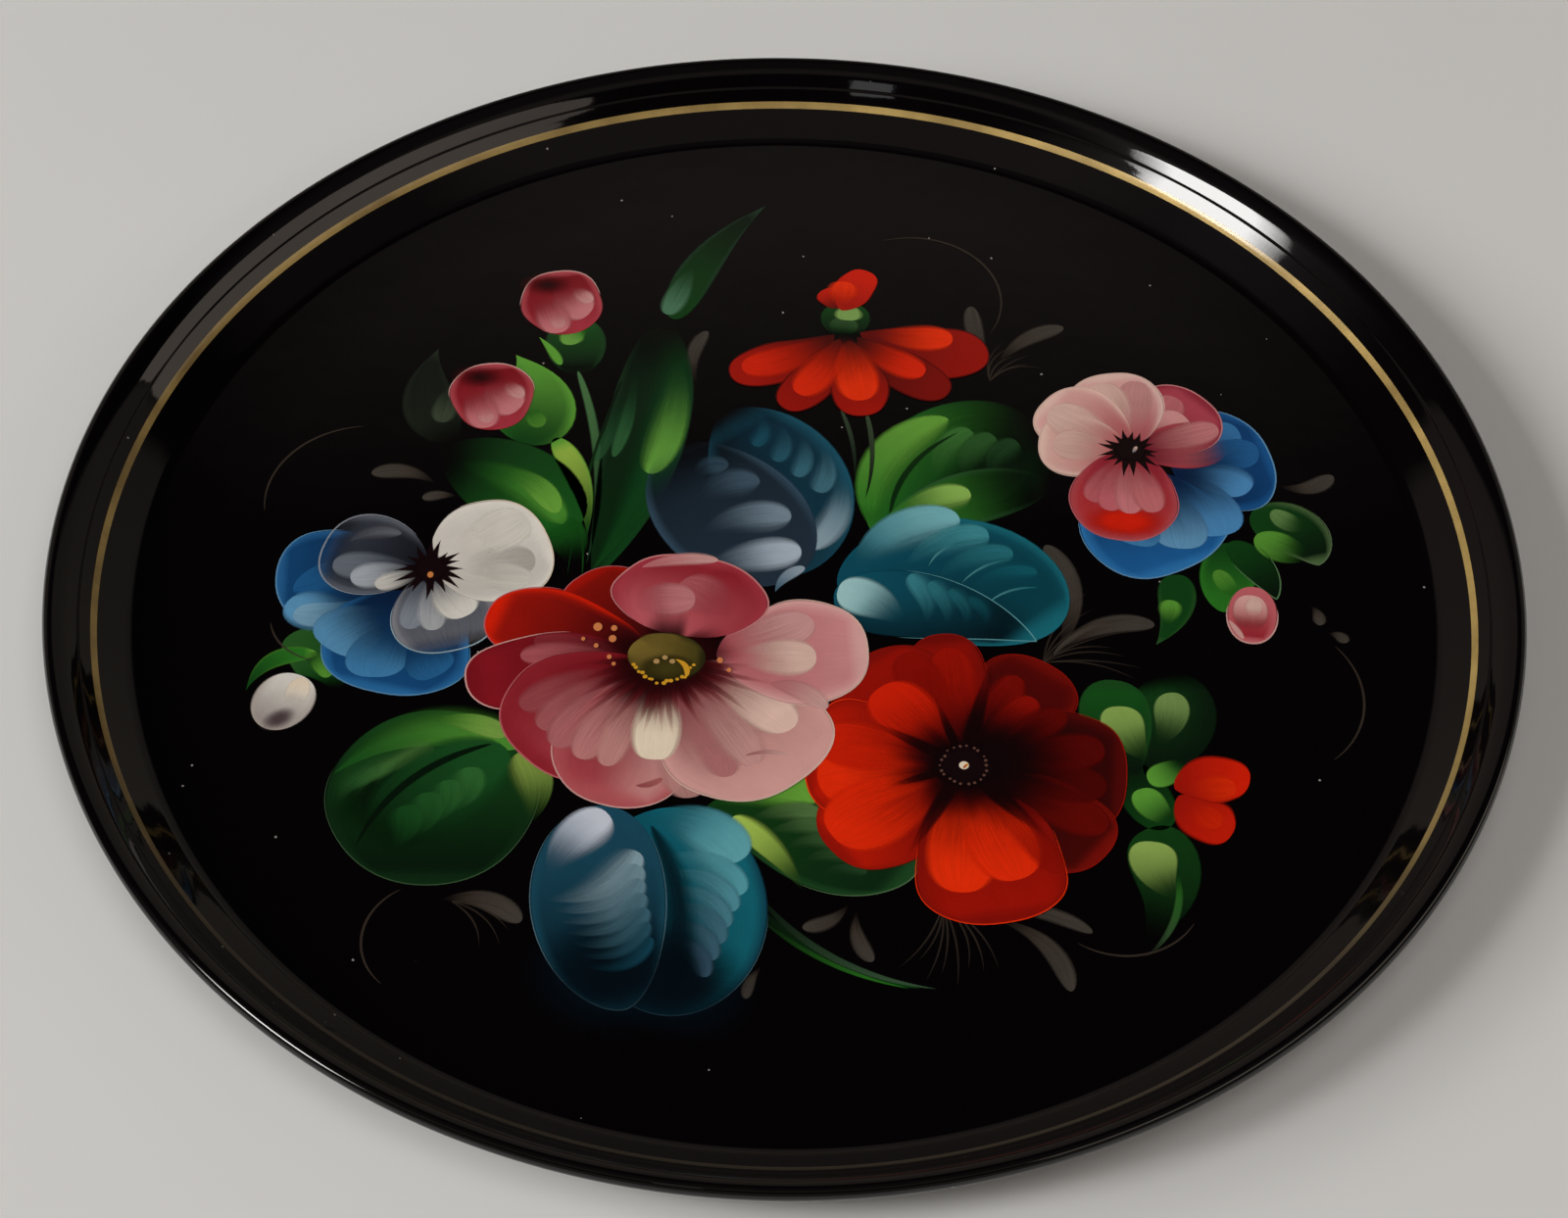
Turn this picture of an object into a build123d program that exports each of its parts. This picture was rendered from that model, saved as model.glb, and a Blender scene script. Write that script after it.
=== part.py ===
from build123d import *
import math
import os

# Painted serving tray: one steel pressing whose edge is rolled round a wire, lacquered
# on both sides, with a gold line on its wall and a painted bouquet on its floor.
# Millimetres. The origin is the centre of the underside, +Z is up, and +Y is the far
# side of the tray when the bouquet stands upright.

# Driving dimensions
tray_diameter = 400.0  # over the lacquered rolled rim
tray_height = 17.5  # underside to the top of the rolled rim
sheet = 0.8  # steel sheet
wire_diameter = 2.6  # wire inside the rolled rim
coat = 0.10  # each lacquer coat
paint = 0.15  # oil paint on the floor
gold_depth = 0.08
gold_width = 2.0
gap = 0.02  # clearance between a coat and what it covers
side_gap = 0.15  # clearance between neighbouring paint films

# Section of the pressing, along the middle of the sheet: bend radii, and slopes in degrees
floor_bend_radius = 5.0
wall_slope = 40.0
crease_radius = 3.0  # the faint crease under the gold line
lower_ledge_slope = 46.0
lower_ledge_length = 4.5
groove_radius = 2.2  # the fine pressed groove between the two ledges
groove_slope = 62.0
upper_ledge_slope = 47.0
upper_ledge_length = 3.0
shoulder_radius = 9.5
lip_slope = 22.0  # where the roll round the wire starts
curl_turn = 290.0  # how far the edge is rolled round the wire
face_curl_coated = 0.93  # share of the curl that the face lacquer reaches
back_shoulder_coated = 0.60  # share of the shoulder that the back lacquer reaches

# Worked-out sizes
curl_radius = wire_diameter / 2 + gap + sheet / 2
rim_thickness = wire_diameter / 2 + gap + sheet + gap + coat
rim_centre_radius = tray_diameter / 2 - rim_thickness
rim_centre_height = tray_height - rim_thickness
sheet_middle = coat + gap + sheet / 2  # height of the middle of the floor's sheet
face_side = sheet / 2 + gap  # from the middle of the sheet to a coat
paint_base = sheet_middle + face_side + coat + gap
straight = 0.0  # bend radius that stands for a straight
shortest_edge = 1e-6  # shorter stretches of the path are left out

# Pieces of the path, counted from the tray's centre
wall_piece, upper_ledge_piece, shoulder_piece = 3, 8, 9


def wall_bends(wall_length):
    """Each bend or straight from the floor to the end of the curl, as (radius, length or turn).
    A straight has its length, in millimetres, and a bend its turn, in degrees."""
    return [
        (floor_bend_radius, wall_slope),
        (straight, wall_length),
        (crease_radius, lower_ledge_slope - wall_slope),
        (straight, lower_ledge_length),
        (groove_radius, groove_slope - lower_ledge_slope),
        (groove_radius, upper_ledge_slope - groove_slope),
        (straight, upper_ledge_length),
        (shoulder_radius, lip_slope - upper_ledge_slope),
        (curl_radius, -curl_turn),
    ]


def sheet_path(floor_radius, wall_length):
    """The middle line of the sheet as pieces of (radius, height, heading, length, turn).
    Headings and turns are in radians, and a straight piece has turn 0."""
    pieces = [(0.0, sheet_middle, 0.0, floor_radius, 0.0)]
    place = (floor_radius, sheet_middle, 0.0)
    for bend_radius, size in wall_bends(wall_length):
        if bend_radius == straight:
            angle = 0.0
            length = size
        else:
            angle = math.radians(size)
            length = bend_radius * abs(angle)
        piece = (*place, length, angle)
        pieces.append(piece)
        place = along(piece, length)
    return pieces


def along(piece, distance):
    """Radius, height and heading at a distance along one piece of the path."""
    radius, height, heading, length, turn = piece
    if turn == 0:
        return (
            radius + distance * math.cos(heading),
            height + distance * math.sin(heading),
            heading,
        )
    bend = length / turn
    new_heading = heading + distance / bend
    return (
        radius + bend * (math.sin(new_heading) - math.sin(heading)),
        height + bend * (math.cos(heading) - math.cos(new_heading)),
        new_heading,
    )


def fitted_path():
    """The path whose curl lies round the wire: the wall's length gives the rim its height, and
    the floor's radius gives it its radius."""
    start_radius, start_height = sheet_path(0.0, 0.0)[-1][:2]  # where the curl starts
    lip = math.radians(lip_slope)
    wall = math.radians(wall_slope)
    rise = rim_centre_height + curl_radius * math.cos(lip) - start_height
    wall_length = rise / math.sin(wall)
    run = start_radius + curl_radius * math.sin(lip) + wall_length * math.cos(wall)
    return sheet_path(rim_centre_radius - run, wall_length)


path = fitted_path()


def offset_point(piece, distance, offset):
    """The point beside the path, offset towards the face of the tray."""
    radius, height, heading = along(piece, distance)
    return (radius - offset * math.sin(heading), 0, height + offset * math.cos(heading))


def offset_edges(start, end, offset):
    """The edges that run beside the path between two distances from the tray's centre."""
    edges = []
    passed = 0.0
    for piece in path:
        length = piece[3]
        low = max(start - passed, 0.0)
        high = min(end - passed, length)
        passed += length
        if high - low < shortest_edge:
            continue
        first = offset_point(piece, low, offset)
        last = offset_point(piece, high, offset)
        if piece[4] == 0:
            edges.append(Line(first, last))
        else:
            edges.append(ThreePointArc(first, offset_point(piece, (low + high) / 2, offset), last))
    return edges


def layer(start, end, low, high):
    """A turned solid that follows the sheet between two offsets from its middle line."""
    lower = offset_edges(start, end, low)
    upper = offset_edges(start, end, high)
    closing = [Line(lower[0] @ 0, upper[0] @ 0), Line(lower[-1] @ 1, upper[-1] @ 1)]
    section = make_face(lower + upper + closing)
    return revolve(section, Axis.Z)


def path_length(count=None):
    """Length of the path's first pieces, or of all of it."""
    return sum(piece[3] for piece in path[:count])


def tray_pan():
    """The steel pressing with its edge rolled round the wire."""
    return layer(0.0, path_length(), -sheet / 2, sheet / 2)


def rim_wire():
    """The ring of wire inside the rolled edge."""
    ring = Torus(rim_centre_radius, wire_diameter / 2)
    return Pos(0, 0, rim_centre_height) * ring


def face_lacquer():
    """Lacquer on the face, over the rim and down its outside."""
    curl_start = path_length(shoulder_piece)
    end = curl_start + face_curl_coated * (path_length() - curl_start)
    return layer(0.0, end, face_side, face_side + coat)


def back_lacquer():
    """Lacquer on the underside, up to where the rolled edge closes on the sheet."""
    shoulder_start = path_length(upper_ledge_piece)
    shoulder_length = path_length(shoulder_piece) - shoulder_start
    end = shoulder_start + back_shoulder_coated * shoulder_length
    return layer(0.0, end, -face_side - coat, -face_side)


def gold_line():
    """The thin gold line on the crease at the top of the wall."""
    middle = path_length(wall_piece)
    low = face_side + coat + gap
    return layer(middle - gold_width / 2, middle + gold_width / 2, low, low + gold_depth)


# Painted motifs on the floor
# A bloom is (centre x, centre y, half width, half height, lobes, lobe depth, turn).
# A leaf is (base x, base y, tip x, tip y, width, sideways bend).
# Motifs listed first lie over the ones listed after them.
blooms = {
    "pink_rose": (-31.5, -31, 53.5, 44, 6, 0.12, 20),
    "red_poppy": (48, -63, 40, 46, 6, 0.10, 30),
    "white_pansy": (-103, -4, 37, 33, 5, 0.12, 50),
    "pink_pansy": (105, 45, 35, 37, 5, 0.12, 70),
    "red_side_flower": (18, 85, 36, 20, 7, 0.12, 0),
    "red_tuft": (16, 115, 8, 9, 3, 0.06, 90),
    "upper_pink_bud": (-67, 108, 12, 13, 3, 0.04, 90),
    "lower_pink_bud": (-85, 70, 12, 13, 3, 0.04, 90),
    "white_bud": (-134, -42, 9, 10, 3, 0.04, 60),
    "pink_side_bud": (127, -6, 7.5, 10, 3, 0.04, 60),
    "red_tulip_bud": (113, -69, 10, 12, 3, 0.10, 0),
    "round_leaf": (-91, -72, 28, 28, 4, 0.02, 0),
}
leaves = {
    "slate_leaf": (4, 1, -14, 66, 50, 6),
    "teal_leaf": (13, -3, 74, -2, 40, 8),
    "broad_leaf": (22, 22, 66, 68, 32, 8),
    "blue_lower_leaf": (-42, -76, -22, -136, 56, -4),
    "green_lower_leaf": (-18, -74, 35, -98, 26, 5),
    "lance_leaf": (-56, 4, -34, 100, 22, -6),
    "dark_upper_leaf": (-36, 103, -9, 150, 11, 5),
    "inner_green_leaf": (-60, 24, -93, 52, 20, 5),
    "bud_leaf": (-70, 50, -78, 86, 16, -4),
    "sprout_leaf": (-60, 30, -68, 56, 8, 2),
    "shadow_leaf": (-98, 56, -106, 86, 14, 2),
    "right_leaf": (128, 36, 148, 12, 18, 3),
    "inner_right_leaf": (126, 20, 118, -4, 15, 0),
    "small_right_leaf": (110, 8, 102, -16, 9, 0),
    "tulip_upper_leaf": (96, -60, 88, -30, 26, -4),
    "tulip_calyx": (94, -80, 104, -58, 14, 0),
    "tulip_lower_leaf": (95, -80, 96, -112, 16, 5),
    "upper_bud_calyx": (-60, 80, -60, 102, 16, 0),
    "white_bud_calyx": (-145, -38, -122, -28, 16, 4),
    "side_flower_calyx": (16, 94, 16, 110, 14, 0),
    "lower_blade": (-8, -102, 36, -130, 6, -4),
}


def bloom(shape, grow):
    """A rounded, lobed outline, made larger all round by grow."""
    x, y, half_width, half_height, lobes, depth, turn = shape
    points = []
    for index in range(2 * lobes):
        angle = math.radians(turn) + index * math.pi / lobes
        reach = 1.0 if index % 2 == 0 else 1.0 - depth
        across = (half_width * reach + grow) * math.cos(angle)
        up = (half_height * reach + grow) * math.sin(angle)
        points.append((x + across, y + up))
    return make_face(Spline(*points, periodic=True))


def leaf(shape, grow):
    """A pointed outline from base to tip, bent sideways, made larger by grow."""
    base_x, base_y, tip_x, tip_y, width, bend = shape
    length = math.dist((base_x, base_y), (tip_x, tip_y))
    ahead = Vector(tip_x - base_x, tip_y - base_y) / length
    side = Vector(-ahead.Y, ahead.X)
    base = Vector(base_x, base_y) - ahead * grow
    tip = Vector(tip_x, tip_y) + ahead * grow
    middle = (base + tip) / 2 + side * bend
    left = ThreePointArc(base, middle + side * (width / 2 + grow), tip)
    right = ThreePointArc(base, middle - side * (width / 2 + grow), tip)
    return make_face([left, right])


def outlines(grow):
    """Every motif's outline by name, in painting order from the top one down."""
    faces = {name: bloom(shape, grow) for name, shape in blooms.items()}
    faces.update({name: leaf(shape, grow) for name, shape in leaves.items()})
    return faces


def paint_films():
    """One film of paint for each motif, cut away where another motif lies over it."""
    plain = outlines(0.0)
    grown = outlines(side_gap)
    films = {}
    names = list(plain)
    for place, name in enumerate(names):
        face = plain[name]
        for other in names[:place]:
            face = face - grown[other]
        films[name] = Pos(0, 0, paint_base) * extrude(face, paint)
    return films


def write_parts():
    """Writes one STEP file for each node."""
    os.makedirs("parts", exist_ok=True)
    nodes = {
        "tray_pan": tray_pan(),
        "rim_wire": rim_wire(),
        "face_lacquer": face_lacquer(),
        "back_lacquer": back_lacquer(),
        "gold_line": gold_line(),
    }
    nodes.update({name + "_paint": film for name, film in paint_films().items()})
    for name, shape in nodes.items():
        export_step(shape, f"parts/{name}.step")


write_parts()
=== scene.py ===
import math

import bmesh
import bpy
import numpy as np
from mathutils import Matrix, Vector


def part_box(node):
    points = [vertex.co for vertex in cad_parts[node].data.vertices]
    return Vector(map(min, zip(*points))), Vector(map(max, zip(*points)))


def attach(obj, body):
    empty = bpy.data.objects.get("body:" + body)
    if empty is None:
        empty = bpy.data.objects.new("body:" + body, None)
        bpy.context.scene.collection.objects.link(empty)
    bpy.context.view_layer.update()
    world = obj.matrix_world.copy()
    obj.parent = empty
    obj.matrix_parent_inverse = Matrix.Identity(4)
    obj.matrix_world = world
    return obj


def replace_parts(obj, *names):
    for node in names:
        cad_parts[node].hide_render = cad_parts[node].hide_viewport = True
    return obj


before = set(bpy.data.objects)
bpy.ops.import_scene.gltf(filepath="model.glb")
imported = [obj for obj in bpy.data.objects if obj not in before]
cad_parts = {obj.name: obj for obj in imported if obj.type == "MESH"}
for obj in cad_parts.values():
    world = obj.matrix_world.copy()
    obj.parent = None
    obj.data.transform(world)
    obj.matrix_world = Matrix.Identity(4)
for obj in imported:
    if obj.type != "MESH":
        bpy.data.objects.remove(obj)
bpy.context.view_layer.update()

# Places and sizes worked out from the frame
MM = 0.001
UNITS_IN_RADIUS = 200
face_low, face_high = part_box("face_lacquer")
tray_radius = (face_high.x - face_low.x) / 2
tray_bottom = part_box("back_lacquer")[0].z
floor_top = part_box("pink_rose_paint")[0].z  # where the oil paint starts
unit = tray_radius / UNITS_IN_RADIUS  # the painter's unit, in metres
deck_step = 0.06 * MM  # height of one deck, a stage of the painting, over the one below
stroke_step = 0.003 * MM  # height of one stroke over the one before
rng = np.random.default_rng(7)

# Section of the pressing, in millimetres and degrees, as the CAD model has it
SHEET = 0.8
WIRE = 2.6
COAT = 0.1
GAP = 0.02  # between one shell and the next
CURL = WIRE / 2 + GAP + SHEET / 2  # radius of the sheet's middle round the wire
STRAIGHT = 0  # bend radius that stands for a straight
WALL_SLOPE = 40
LEDGE_SLOPE = 46
GROOVE_SLOPE = 62
UPPER_LEDGE_SLOPE = 47
LIP_SLOPE = 22
FACE_CURL_COATED = 0.93  # share of the curl that the face lacquer covers
BACK_SHOULDER_COATED = 0.6  # share of the shoulder that the back lacquer covers
GOLD_WIDTH = 2
GOLD_DEPTH = 0.08

# How finely the shells are drawn
FLOOR_RINGS = 8
FEWEST_RINGS = 3  # along a straight or a small bend
DEGREES_PER_RING = 3
STEEL_FACETS = 256
FACE_FACETS = 320
GOLD_FACETS = 384
SHARP_EDGE = 50  # edges that bend by more degrees than this are drawn sharp
SAME_PLACE = 1e-7  # vertices nearer than this, in metres, are joined
NO_LENGTH = 1e-8  # edges shorter than this are dissolved

# How brush strokes and patches are drawn
LEFT_WAVES = 9  # how fast a wavy border wavers, in radians over a stroke's length
RIGHT_WAVES = 8
BRUSH_SHIFT = (17, 5.3)  # moves each stroke's bristles along and across those of the one before
HAIRLINE_BRISTLES = 60  # length that a hairline has in the bristle map, in painter's units
GLOW_RINGS = 14
GLOW_FACETS = 72

# How the paint looks
RAGGED = 2.2  # how much the bristles break up paint that thins out
CLOUDED = 0.22  # how much the paint's tone varies from place to place
MOST_LAYERS = 64  # films that light may pass through, as the strokes lie many deep

# Studio
TABLE_REACH = 12  # from the middle to a side, in tray radii
CAMERA_DISTANCE = 5  # in tray radii
CAMERA_ELEVATION = 50.1
CAMERA_ROLL = 1.04
CAMERA_LENS = 83.6  # in millimetres, as the sensor
CAMERA_SENSOR = 36
CAMERA_AIM = (-0.001, -0.0334, 0)  # from the middle of the floor, in tray radii
DAYLIGHT = (1, 0.985, 0.965)
FILL_LIGHT = (1, 0.985, 0.96)
WARM_LIGHT = (1, 0.86, 0.74)


# ---------------------------------------------------------------- colours
def linear(colour):
    """A linear colour from a screen colour of 0 to 255."""
    share = np.array(colour, float) / 255
    return np.where(share <= 0.04045, share / 12.92, ((share + 0.055) / 1.055) ** 2.4)


def smooth(x):
    """A soft step from 0 to 1."""
    x = np.clip(x, 0, 1)
    return x * x * (3 - 2 * x)


def blend(a, b, t):
    """Mix of two linear colours by an array of shares."""
    t = np.asarray(t)[..., None]
    return a * (1 - t) + b * t


# ---------------------------------------------------------------- node helpers
def new_material(name):
    material = bpy.data.materials.new(name)
    material.use_nodes = True
    tree = material.node_tree
    tree.nodes.clear()
    return material, tree


def add(tree, kind, inputs=None, **settings):
    """A node with its settings and inputs set. An input may be a value or another socket."""
    node = tree.nodes.new(kind)
    for key, value in settings.items():
        setattr(node, key, value)
    for key, value in (inputs or {}).items():
        if isinstance(value, bpy.types.NodeSocket):
            tree.links.new(value, node.inputs[key])
        else:
            node.inputs[key].default_value = value
    return node


def mapped(tree, coordinate, scale):
    """A coordinate stretched along each axis."""
    return add(tree, "ShaderNodeMapping", {"Vector": coordinate, "Scale": scale}).outputs[0]


def noise(tree, vector, scale, detail=3.0, roughness=0.5):
    inputs = {"Vector": vector, "Scale": scale, "Detail": detail, "Roughness": roughness}
    return add(tree, "ShaderNodeTexNoise", inputs).outputs["Fac"]


def ranged(tree, value, low, high, to_low, to_high):
    """A value moved from one range to another, and kept in it."""
    inputs = {"Value": value, "From Min": low, "From Max": high, "To Min": to_low, "To Max": to_high}
    return add(tree, "ShaderNodeMapRange", inputs).outputs[0]


def maths(tree, operation, a, b, clamp=False):
    node = add(tree, "ShaderNodeMath", {0: a, 1: b}, operation=operation, use_clamp=clamp)
    return node.outputs[0]


def mixed(tree, share, a, b):
    """A colour between two, by a share."""
    inputs = {"Factor": share, 6: a, 7: b}  # 6 and 7 are the two colours
    return add(tree, "ShaderNodeMix", inputs, data_type="RGBA").outputs[2]


def finish_material(tree, surface):
    add(tree, "ShaderNodeOutputMaterial", {"Surface": surface})


def shader(tree, inputs):
    return add(tree, "ShaderNodeBsdfPrincipled", inputs).outputs[0]


def rgba(colour):
    """A colour from 0 to 255, as nodes take it."""
    return (*linear(colour).tolist(), 1)


# ---------------------------------------------------------------- materials of the tray
def lacquer(name, coat, dust):
    """Black lacquer: near black, with faint waviness, fine grain and specks of dust."""
    material, tree = new_material(name)
    place = add(tree, "ShaderNodeTexCoord").outputs["Object"]
    waves = noise(tree, place, 55.0, 2.0)
    grain = noise(tree, place, 900.0, 2.0)
    height = maths(tree, "ADD", waves, maths(tree, "MULTIPLY", grain, 0.06))
    bump = add(tree, "ShaderNodeBump", {"Height": height, "Strength": 0.06, "Distance": 0.0006})
    cells = add(tree, "ShaderNodeTexVoronoi", {"Vector": place, "Scale": 130.0, "Randomness": 1.0})
    rare = maths(tree, "GREATER_THAN", cells.outputs["Color"], 0.58)
    near = maths(tree, "LESS_THAN", cells.outputs["Distance"], 0.045)
    speck = maths(tree, "MULTIPLY", maths(tree, "MULTIPLY", rare, near), dust)
    colour = mixed(tree, speck, rgba((4, 2, 3)), rgba((190, 185, 180)))
    rough = ranged(tree, noise(tree, place, 14.0, 4.0), 0.3, 0.7, 0.22, 0.34)
    surface = shader(tree, {
        "Base Color": colour, "Roughness": rough, "Specular IOR Level": 0.02,
        "Coat Weight": coat, "Coat Roughness": 0.035, "Coat IOR": 1.5,
        "Normal": bump.outputs[0], "Coat Normal": bump.outputs[0],
    })
    finish_material(tree, surface)
    return material


def gold_leaf():
    """Gold paint, thinner and browner in places where the brush ran dry, and darkened along the
    near side with painted shade, where the gold is seen edge-on and faces away from the light."""
    material, tree = new_material("gold_line")
    place = add(tree, "ShaderNodeTexCoord").outputs["Object"]
    patches = noise(tree, place, 30.0, 4.0, 0.6)
    fine = noise(tree, place, 1400.0, 2.0)
    thick = ranged(tree, patches, 0.35, 0.65, 0.0, 0.8)
    share = maths(tree, "ADD", thick, maths(tree, "MULTIPLY", fine, 0.2))
    colour = mixed(tree, share, rgba((132, 108, 60)), rgba((198, 168, 100)))
    parts = add(tree, "ShaderNodeSeparateXYZ", {0: place})
    # painted shade: the gold turns dark brown along the near side, where it faces away from the light
    near_side_shade = ranged(tree, parts.outputs["Y"], -0.125, -0.035, 1.0, 0.0)
    colour = mixed(tree, near_side_shade, colour, rgba((66, 58, 46)))
    bump = add(tree, "ShaderNodeBump", {"Height": fine, "Strength": 0.2, "Distance": 0.0002})
    surface = shader(tree, {
        "Base Color": colour, "Metallic": 0.25, "Roughness": 0.42,
        "Coat Weight": 0.6, "Coat Roughness": 0.08, "Normal": bump.outputs[0],
    })
    finish_material(tree, surface)
    return material


def bare_steel(name, tone):
    """Sheet or wire steel, seen only where the lacquer stops."""
    material, tree = new_material(name)
    place = add(tree, "ShaderNodeTexCoord").outputs["Object"]
    streaks = noise(tree, mapped(tree, place, (900.0, 900.0, 60.0)), 1.0, 3.0)
    colour = mixed(tree, streaks, rgba(tone), rgba([c * 1.3 for c in tone]))
    rough = ranged(tree, streaks, 0.3, 0.7, 0.3, 0.5)
    bump = add(tree, "ShaderNodeBump", {"Height": streaks, "Strength": 0.15, "Distance": 0.0002})
    surface = shader(tree, {
        "Base Color": colour, "Metallic": 1.0, "Roughness": rough, "Normal": bump.outputs[0],
    })
    finish_material(tree, surface)
    return material


def oil_paint(name, streak_strength):
    """Oil paint under clear varnish. A stroke's own colour and cover are in the attribute "tint".
    Places along and across it, in painter's units, are in the UV map "brush", which aligns the
    bristles."""
    material, tree = new_material(name)
    tint = add(tree, "ShaderNodeAttribute", attribute_name="tint", attribute_type="GEOMETRY")
    brush = add(tree, "ShaderNodeUVMap", uv_map="brush").outputs[0]
    bristles = noise(tree, mapped(tree, brush, (0.06, 1.5, 1.0)), 1.0, 4.0, 0.6)
    place = add(tree, "ShaderNodeTexCoord").outputs["Object"]
    cloud = noise(tree, place, 160.0, 4.0, 0.6)
    # bristles break up only the parts where the paint thins out
    cover = tint.outputs["Alpha"]
    thin = maths(tree, "MULTIPLY", cover, maths(tree, "SUBTRACT", 1.0, cover))
    break_up = maths(tree, "MULTIPLY", maths(tree, "SUBTRACT", bristles, 0.5), RAGGED)
    cover = maths(tree, "ADD", cover, maths(tree, "MULTIPLY", thin, break_up), clamp=True)
    lift = maths(tree, "MULTIPLY", maths(tree, "SUBTRACT", bristles, 0.5), streak_strength)
    cloudy = maths(tree, "MULTIPLY", maths(tree, "SUBTRACT", cloud, 0.5), CLOUDED)
    gain = maths(tree, "ADD", 1.0, maths(tree, "ADD", lift, cloudy))
    colour = add(tree, "ShaderNodeVectorMath", {0: tint.outputs["Color"], "Scale": gain},
                 operation="SCALE")
    bump = add(tree, "ShaderNodeBump", {"Height": bristles, "Strength": 0.12, "Distance": 0.0003})
    paint = shader(tree, {
        "Base Color": colour.outputs[0], "Roughness": 0.5, "Specular IOR Level": 0.05,
        "Coat Weight": 1.0, "Coat Roughness": 0.05, "Coat IOR": 1.5,
        "Normal": bump.outputs[0],
    })
    clear = add(tree, "ShaderNodeBsdfTransparent").outputs[0]
    final = add(tree, "ShaderNodeMixShader", {0: cover, 1: clear, 2: paint})
    finish_material(tree, final.outputs[0])
    return material


# ---------------------------------------------------------------- turned shells of the tray
def wall_bends(wall_length):
    """Each bend of the pressing from the floor outward, as (radius, degrees), or a straight as
    (STRAIGHT, length)."""
    return [
        (5, WALL_SLOPE),  # from the floor into the wall
        (STRAIGHT, wall_length),
        (3, LEDGE_SLOPE - WALL_SLOPE),  # the crease under the gold line
        (STRAIGHT, 4.5),
        (2.2, GROOVE_SLOPE - LEDGE_SLOPE),  # the groove between the two ledges
        (2.2, UPPER_LEDGE_SLOPE - GROOVE_SLOPE),
        (STRAIGHT, 3),
        (9.5, LIP_SLOPE - UPPER_LEDGE_SLOPE),  # the shoulder
        (CURL, -290),  # round the wire
    ]


def along(start, radius, size):
    """Radius, height and heading where a bend or straight leads to."""
    x, z, heading = start
    if radius == STRAIGHT:
        return x + size * math.cos(heading), z + size * math.sin(heading), heading
    after = heading + math.radians(size)
    bend = math.copysign(radius, size)
    x += bend * (math.sin(after) - math.sin(heading))
    z += bend * (math.cos(heading) - math.cos(after))
    return x, z, after


def section_rows(floor_radius, wall_length):
    """Rows of (radius, height, heading) along the middle of the sheet, from the middle of the floor,
    and how many rows there are up to the end of each bend or straight."""
    height = COAT + GAP + SHEET / 2
    rows = [(floor_radius * share, height, 0.0) for share in np.linspace(0, 1, FLOOR_RINGS)]
    ends = [len(rows)]
    for radius, size in wall_bends(wall_length):
        start = rows[-1]
        turn = 0 if radius == STRAIGHT else abs(size)
        count = max(FEWEST_RINGS, round(turn / DEGREES_PER_RING))
        rows += [along(start, radius, size * share) for share in np.linspace(0, 1, count + 1)[1:]]
        ends.append(len(rows))
    return np.array(rows), ends


def fitted_rows():
    """The section whose curl lies round the wire."""
    rim = WIRE / 2 + GAP + SHEET + GAP + COAT
    tray_height = (face_high.z - tray_bottom) / MM
    rows, ends = section_rows(0, 0)
    x, z, heading = rows[ends[-2] - 1]
    rise = tray_height - rim + CURL * math.cos(heading) - z
    wall_length = rise / math.sin(math.radians(WALL_SLOPE))
    run = x + CURL * math.sin(heading) + wall_length * math.cos(math.radians(WALL_SLOPE))
    return section_rows(tray_radius / MM - rim - run, wall_length)


def shell(rows, low, high):
    """A closed ring of (radius, height) round a stretch of the sheet, between two offsets."""
    normal = np.c_[-np.sin(rows[:, 2]), np.cos(rows[:, 2])]
    upper = rows[:, :2] + normal * high
    lower = rows[:, :2] + normal * low
    return np.concatenate([lower, upper[::-1]])


def turned(name, ring, around, node):
    """Turns a closed section round the tray's axis into one piece that stands for a CAD node, with
    that node's finish."""
    angles = np.linspace(0, 2 * np.pi, around, endpoint=False)
    count = len(ring)
    x = ring[None, :, 0] * np.cos(angles)[:, None]
    y = ring[None, :, 0] * np.sin(angles)[:, None]
    z = np.broadcast_to(ring[None, :, 1], x.shape)
    vertices = np.stack([x, y, z], -1).reshape(-1, 3) * MM
    index = np.arange(around * count).reshape(around, count)
    beside = np.roll(index, -1, 0)
    quads = np.stack([index, np.roll(index, -1, 1), np.roll(beside, -1, 1), beside], -1).reshape(-1, 4)
    mesh = bpy.data.meshes.new(name)
    mesh.from_pydata(vertices.tolist(), [], quads[:, ::-1].tolist())
    tidy_axis(mesh)
    mesh.polygons.foreach_set("use_smooth", np.ones(len(mesh.polygons), bool))
    mesh.materials.append(finishes[node])
    piece = add_piece(name, mesh)
    sharp = piece.modifiers.new("edges", "EDGE_SPLIT")
    sharp.split_angle = math.radians(SHARP_EDGE)
    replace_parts(piece, node)


def add_piece(name, mesh):
    """A piece of the tray, which rides on its only body."""
    piece = bpy.data.objects.new(name, mesh)
    bpy.context.scene.collection.objects.link(piece)
    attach(piece, "root")
    return piece


def tidy_axis(mesh):
    """Joins the vertices that meet on the tray's axis."""
    work = bmesh.new()
    work.from_mesh(mesh)
    bmesh.ops.remove_doubles(work, verts=work.verts, dist=SAME_PLACE)
    bmesh.ops.dissolve_degenerate(work, edges=work.edges, dist=NO_LENGTH)
    bmesh.ops.recalc_face_normals(work, faces=work.faces)
    work.to_mesh(mesh)
    work.free()
    mesh.update()


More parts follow.
